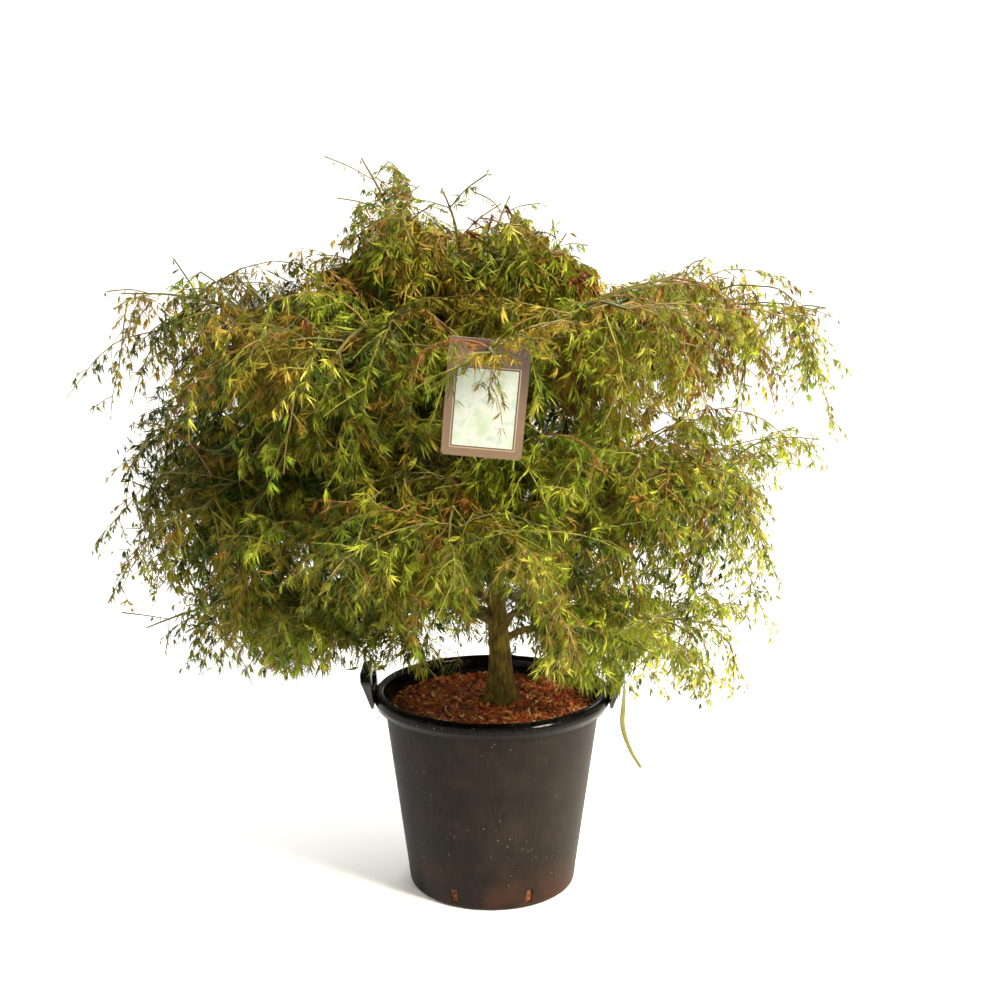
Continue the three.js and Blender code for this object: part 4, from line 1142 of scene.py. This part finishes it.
def rounded(half, low, high, foot, top, foot_steps, top_steps):
    """A rectangle about x = 0 with one radius for its lower corners and one for its upper."""
    return (arc((half - foot, low + foot), foot, -90, 0, foot_steps)
            + arc((half - top, high - top), top, 0, 90, top_steps)
            + arc((top - half, high - top), top, 90, 180, top_steps)
            + arc((foot - half, low + foot), foot, 180, 270, foot_steps))


def turned(profile, turns):
    """Points of a (radius, height) profile turned about the Z axis, ring by ring."""
    radii, heights = np.array(profile, float).T
    return np.stack([np.outer(radii, np.cos(turns)), np.outer(radii, np.sin(turns)),
                     np.repeat(heights[:, None], len(turns), axis=1)], axis=-1).reshape(-1, 3)


def build_tub():
    """A turned wall with a rolled lip and open drainage slots, given its thickness inward."""
    foot, lip, height = POT.foot_round, 1.5 * POT.lip_round, POT.height
    lip_foot = height - POT.lip_depth
    heights = [POT.slot_sill, POT.slot_sill + POT.slot_height, 90, 150, 210, 270, 330,
               lip_foot - 12, lip_foot, height - 2 * POT.mouth_round]
    profile = [(0, 0), (60, 0), (120, 0)]
    profile += arc((POT.base_radius - foot, foot), foot, -90, -8, 7)
    first_slot_ring = len(profile)
    profile += [(wall_radius(h), h) for h in heights]
    first_rim_ring = len(profile) - 2
    profile += arc((wall_radius(height) + POT.mouth_round, height - POT.mouth_round),
                   POT.mouth_round, 175, 92, 6)
    profile += arc((POT.lip_radius - lip, height - lip), lip, 88, -48, 10)
    profile += [(POT.lip_radius - inward, lip_foot + up) for inward, up in POT.lip_edge]
    period = 360 / POT.slots
    half = math.degrees(POT.slot_width / 2 / POT.base_radius)
    turns = []
    for i in range(POT.slots):
        middle = POT.slot_turn + i * period
        turns += [middle - half, middle + half]
        turns += list(np.linspace(middle + half, middle + period - half, 15)[1:-1])
    columns = len(turns)
    faces = tube_faces(1, len(profile), columns)
    column = np.tile(np.arange(columns), len(profile) - 1)
    ring = np.repeat(np.arange(len(profile) - 1), columns)
    wall = (column % (columns // POT.slots) != 0) | (ring != first_slot_ring)
    # the rim's faces take the glossier material, painted darker as a reflection of the crown
    in_rim = (ring >= first_rim_ring).astype(int)
    tub = add_piece("tub_shell", turned(profile, np.radians(turns)), faces[wall],
                    [TUB_PLASTIC, RIM_PLASTIC], in_rim[wall])
    solid = tub.modifiers.new("wall", "SOLIDIFY")
    solid.thickness = POT.wall / 1000
    solid.offset = 1 if faces_point_in(tub) else -1
    edge = tub.modifiers.new("edge", "BEVEL")
    edge.width = 0.0007
    edge.segments = 2
    edge.limit_method = "ANGLE"
    edge.angle_limit = math.radians(50)
    stands_for(tub, "pot", "pot")


def faces_point_in(piece):
    """True where the wall's faces look at the axis."""
    side = [p for p in piece.data.polygons if 0.1 < p.center.z < 0.35]
    return sum(p.normal.x * p.center.x + p.normal.y * p.center.y for p in side) < 0


def soil_height(x, y):
    edge = wall_radius(SOIL.edge_height) - POT.wall
    share = np.clip((np.hypot(x, y) - SOIL.plateau) / (edge - SOIL.plateau), 0, 1)
    return mix(SOIL.crown_height, SOIL.edge_height, share)


def build_soil(edge):
    """A bed of peat and fines with crumbs in low relief."""
    sides, rings = 120, 44
    points = turned([(radius, 0) for radius in np.linspace(0.5, edge, rings)], ring_turns(sides))
    lumps = np.array([noise.fractal(Vector((x * SOIL.lump_scale, y * SOIL.lump_scale, 3.0)), 1.0,
                                    2.0, 5) for x, y, _ in points])
    points[:, 2] = soil_height(points[:, 0], points[:, 1]) - SOIL.sunk + SOIL.lumps * lumps
    bottom = points[-sides:] * [SOIL.draw_in, SOIL.draw_in, 1.0]
    bottom[:, 2] = POT.floor + 1
    bottom[:, :2] *= (wall_radius(6) - POT.wall - 1) / (edge * SOIL.draw_in)
    bed = add_piece("potting_bed", np.vstack([points, bottom]), tube_faces(1, rings + 1, sides),
                    [PEAT])
    stands_for(bed, "potting_bark", "soil")


def scatter_flakes(edge):
    """Loose flakes of bark, lying at all angles on the bed but not against the trunk."""
    rng = np.random.default_rng(8)
    away = (edge - 5) * np.sqrt(rng.random(FLAKE.count))
    angle = 2 * np.pi * rng.random(FLAKE.count)
    centres = np.stack([away * np.cos(angle), away * np.sin(angle), np.zeros(FLAKE.count)], axis=-1)
    clear = np.linalg.norm(centres[:, :2] - np.array(TRUNK.foot)[:2], axis=1) > FLAKE.from_trunk
    centres = centres[clear]
    count = len(centres)
    centres[:, 2] = soil_height(centres[:, 0], centres[:, 1])
    centres[:, 2] += rng.uniform(-FLAKE.bury, FLAKE.bury, count)
    flake = np.array([(-1, -0.7, -0.5), (1, -0.5, -0.6), (0.85, 0.7, -0.4), (-0.9, 0.6, -0.5),
                      (-0.75, -0.5, 0.5), (0.8, -0.6, 0.4), (1.05, 0.45, 0.6), (-0.6, 0.8, 0.45)])
    flake_faces = np.array([(0, 3, 2, 1), (4, 5, 6, 7), (0, 1, 5, 4), (1, 2, 6, 5), (2, 3, 7, 6),
                            (3, 0, 4, 7)])
    sizes = np.stack([rng.uniform(*FLAKE.length, count), rng.uniform(*FLAKE.width, count),
                      rng.uniform(*FLAKE.thickness, count)], axis=-1)
    normal = unit(UP + FLAKE.tilt * rng.standard_normal((count, 3)))
    length = unit(np.cross(normal, rng.standard_normal((count, 3))))
    axes = np.stack([length, np.cross(normal, length), normal], axis=1)
    torn = flake[None] * (1 + FLAKE.torn * rng.standard_normal((count, 8, 1)) * 0.6)
    placed = np.einsum("npk,nkj->npj", torn * sizes[:, None, :], axes) + centres[:, None, :]
    faces = (flake_faces[None] + (np.arange(count) * len(flake))[:, None, None]).reshape(-1, 4)
    tints = np.repeat(rng.choice(len(CHIPS), count, p=FLAKE.tints), len(flake_faces))
    flakes = add_piece("bark_flakes", placed.reshape(-1, 3), faces, CHIPS, tints, smooth=False)
    stands_for(flakes, "potting_bark", "soil")


# ---------------------------------------------------------------- handles and strap


def handle_outline(inset):
    """The handle's side view, drawn in by inset: across the tub's rim and up."""
    return rounded(HANDLE.width / 2 - inset, -HANDLE.below + inset, HANDLE.above - inset,
                   HANDLE.corner / 2 - inset, HANDLE.corner - inset, 4, 8)


def handle_gap(grow):
    low, high = HANDLE.gap_from - grow, HANDLE.gap_to + grow
    radius, middle = (high - low) / 2, (low + high) / 2
    reach = HANDLE.gap_width / 2 + grow - radius
    return arc((reach, middle), radius, -90, 90, 13) + arc((-reach, middle), radius, 90, 270, 13)


def grip_plate():
    """The handle's plate with its finger gap: x along the rim, y outward, z up."""
    bevel, thick, soft = HANDLE.bevel, HANDLE.thickness, HANDLE.soft
    layers = [(bevel, 0), (soft, soft), (0, bevel), (0, thick - bevel), (soft, thick - soft),
              (bevel, thick)]
    loops = [[(x, depth, z) for x, z in outline(inset)]
             for outline in (handle_outline, handle_gap) for inset, depth in layers]
    rings, count = len(layers), len(loops[0])
    first_x, _, first_z = loops[0][0]
    nearest = int(np.argmin([math.hypot(first_x - x, first_z - z) for x, _, z in loops[rings]]))
    walls = tube_faces(1, rings, count)
    faces = [walls, walls[:, ::-1] + rings * count]
    here = np.arange(count)
    for ring, order in ((0, 1), (rings - 1, -1)):
        rim = ring * count + here
        hole = rings * count + ring * count + (here + nearest) % count
        quads = np.stack([rim, hole, np.roll(hole, -1), np.roll(rim, -1)], axis=1)
        faces.append(quads[:, ::order])
    return np.array(loops, float).reshape(-1, 3), np.vstack(faces)


def grip_rib(x, low, high):
    """One rib round the plate, with its section a soft square."""
    loop = arc((0, 0), 1, 0, 360, 16)[:-1]
    centre = np.array([x, HANDLE.thickness / 2, (low + high) / 2])
    half = (HANDLE.thickness / 2 + RIB.proud, (high - low) / 2)
    section = np.array([(x + dx, centre[1] + half[0] * np.sign(c) * abs(c) ** RIB.square,
                         centre[2] + half[1] * np.sign(s) * abs(s) ** RIB.square)
                        for dx in RIB.across for c, s in loop])
    shrink = np.repeat(RIB.shrink, len(loop))[:, None]
    scale = np.hstack([np.ones_like(shrink), shrink, shrink])
    return centre + (section - centre) * scale, tube_faces(1, len(RIB.across), len(loop))


def build_handle(side):
    """A moulded grip: a rounded plate with a finger gap, ribbed along its top and its faces."""
    ribs = [grip_rib(x, HANDLE.gap_to + 1.5, HANDLE.above + 1.0) for x in np.arange(*RIB.on_grip)]
    ribs += [grip_rib(x, -HANDLE.below + 5, HANDLE.gap_from - 2) for x in np.arange(*RIB.on_legs)]
    points, faces = joined([grip_plate()] + ribs)
    lean = math.radians(HANDLE.lean)
    depth = points[:, 1] * np.interp(points[:, 2], [-HANDLE.below, HANDLE.gap_from, HANDLE.gap_to],
                                     HANDLE.taper)
    outward = depth * math.cos(lean) + points[:, 2] * math.sin(lean)
    upward = points[:, 2] * math.cos(lean) - depth * math.sin(lean)
    x = HANDLE.inner_face + outward
    clear_of_lip = POT.lip_radius + 0.3 - 0.02 * np.abs(points[:, 0])
    x = np.where(upward < 2, np.maximum(x, clear_of_lip), x)
    placed = np.stack([side * x, points[:, 0] * side, POT.height + upward], axis=-1)
    name = "right" if side > 0 else "left"
    handle = add_piece(f"grip_{name}", placed, faces, [HANDLE_PLASTIC])
    handle.data.set_sharp_from_angle(angle=math.radians(40))
    stands_for(handle, "handle", f"handle_{name}")


def build_strap():
    """A strap hooked over the right grip, turning its face to the front as it hangs."""
    lean = math.radians(HANDLE.lean)
    up = (HANDLE.gap_to + HANDLE.above) / 2
    out = HANDLE.thickness / 2
    grip = np.array([HANDLE.inner_face + out * math.cos(lean) + up * math.sin(lean), STRAP.y,
                     POT.height + up * math.cos(lean) - out * math.sin(lean)])
    hook = [grip + STRAP.hook_radius * np.array([math.cos(a), 0, math.sin(a)])
            for a in np.radians(np.linspace(180, 0, 7))]
    outer = hook[-1]
    bend = np.array([outer[0] - STRAP.tail_inward, outer[1] - STRAP.tail_forward, STRAP.tail_bend])
    end = np.array([bend[0] + STRAP.tail_swing, bend[1], STRAP.tail_end])
    sag = STRAP.sag * np.array([-STRAP.tail_swing, 0, STRAP.tail_end - STRAP.tail_bend])
    spine = ([hook[0] - UP * STRAP.inner_leg] + hook
             + [mix(outer, bend, 0.5), bend, mix(bend, end, 0.5) + sag, end])
    line = smooth_line(spine, CURVE_STEPS)
    along = unit(np.gradient(line, axis=0))
    hooked = CURVE_STEPS * len(hook)
    tail = np.clip((np.arange(len(line)) - hooked) / (len(line) - hooked - 1), 0, 1)
    face = rotated(np.tile([0.0, 1.0, 0.0], (len(line), 1)), along,
                   np.minimum(tail * 2, 1) * np.pi / 2)
    face = unit(face - along * np.sum(face * along, axis=1, keepdims=True))
    normal = np.cross(face, along)
    width = mix(STRAP.width, STRAP.tail_width, tail)[:, None] / 2
    thick = STRAP.thickness / 2
    rings = np.stack([line + face * width * a + normal * thick * b for a, b in STRAP.section],
                     axis=1)
    strap = add_piece("hanging_strap", rings.reshape(-1, 3),
                      tube_faces(1, len(line), len(STRAP.section)), [TAPE])
    stands_for(strap, "strap", "strap")


# ---------------------------------------------------------------- label


def flat_loop(outline, front):
    return [(x, front, z) for x, z in outline]


def framed(outline, inner, front):
    """Quads between two loops of the same count on the plane y = front."""
    count = len(outline)
    here = np.arange(count)
    there = np.roll(here, -1)
    return (np.array(flat_loop(outline + inner, front)),
            np.stack([here, there, there + count, here + count], axis=1))


def filled(outline, front):
    """A fan of triangles from the middle of a loop on the plane y = front."""
    here = np.arange(len(outline))
    return (np.array(flat_loop(outline + [tuple(np.mean(outline, 0))], front)),
            np.stack([here, np.roll(here, -1), np.full(len(here), len(here))], axis=1))


def build_label():
    """A card with a punched hole, a framed pale panel and no lettering."""
    top, thick = LABEL.hole_drop, LABEL.thickness / 2
    low = top - LABEL.height
    card = rounded(LABEL.width / 2, low, top, LABEL.corner, LABEL.corner, 6, 6)
    angles = [math.atan2(z, x) for x, z in card]
    hole = [(LABEL.hole_radius * math.cos(a), LABEL.hole_radius * math.sin(a)) for a in angles]
    points = np.array(flat_loop(hole + card, -thick) + flat_loop(card + hole, thick))
    count, here = len(card), np.arange(len(card))
    there = np.roll(here, -1)
    sheet = np.vstack([tube_faces(1, 4, count),
                       np.stack([here + 3 * count, there + 3 * count, there, here], axis=1)])
    line, line_in, dark, dark_in = (
        rounded(LABEL.width / 2 - PRINT.aside - inset, low + PRINT.below + inset,
                top - PRINT.above - inset, corner, corner, 3, 3)
        for inset, corner in PRINT.lines)
    front = -thick - PRINT.proud
    for name, (points, faces), material in (
            ("card_sheet", (points, sheet), CARD),
            ("card_pale_line", framed(line, line_in, front), PALE_INK),
            ("card_dark_line", framed(dark, dark_in, front), DARK_INK),
            ("card_panel", filled(dark_in, front), PANEL)):
        placed = points @ LABEL_TURN.T + np.array(LABEL.hangs_at, float)
        stands_for(add_piece(name, placed, faces, [material], smooth=False), "card", "label")


# ---------------------------------------------------------------- camera, floor and light


def add_camera():
    camera = bpy.data.objects.new("camera", bpy.data.cameras.new("camera"))
    camera.data.lens = CAMERA.lens
    camera.data.sensor_width = 36
    camera.location = CAMERA.place
    camera.rotation_euler = (math.radians(90 - CAMERA.down), 0, 0)
    bpy.context.collection.objects.link(camera)
    bpy.context.scene.camera = camera


def add_light(name, place, target, size, power, colour):
    lamp = bpy.data.lights.new(name, "AREA")
    lamp.shape = "DISK"
    lamp.size = size
    lamp.energy = power
    lamp.color = linear(colour)[:3]
    item = bpy.data.objects.new(name, lamp)
    item.location = place
    item.rotation_euler = (Vector(target) - Vector(place)).to_track_quat("-Z", "Y").to_euler()
    bpy.context.collection.objects.link(item)


def add_studio():
    """A pale floor that sweeps up into a wall, a white sky, and soft lamps."""
    paper = grained("studio_paper", "#fbfbfb", 0.9, (90.0, 2.0), rough=(0.85, 0.98))
    sweep = [(STUDIO.flat + STUDIO.sweep * math.sin(a),
              STUDIO.floor + STUDIO.sweep * (1 - math.cos(a)))
             for a in np.radians([15, 30, 45, 60, 75, 90])]
    profile = [(radius, STUDIO.floor) for radius in (0, 1000, 3000, STUDIO.flat)] + sweep
    profile.append((STUDIO.flat + STUDIO.sweep, STUDIO.top))
    add_piece("studio_floor", turned(profile, ring_turns(STUDIO.sides)),
                       tube_faces(1, len(profile), STUDIO.sides), [paper])
    world = bpy.data.worlds.new("white_sky")
    bpy.context.scene.world = world
    world.use_nodes = True
    sky = world.node_tree.nodes["Background"]
    sky.inputs["Color"].default_value = linear(WHITE)
    sky.inputs["Strength"].default_value = STUDIO.sky
    for lamp in LAMPS:
        add_light(*lamp)
    bpy.context.scene.view_settings.view_transform = "Standard"


add_camera()
add_studio()
build_tub()
SOIL_EDGE = wall_radius(SOIL.edge_height) - POT.wall - 0.6
build_soil(SOIL_EDGE)
scatter_flakes(SOIL_EDGE)
build_handle(1)
build_handle(-1)
build_strap()
build_trunk()
build_boughs()
build_foliage()
build_label()

bpy.context.view_layer.update()
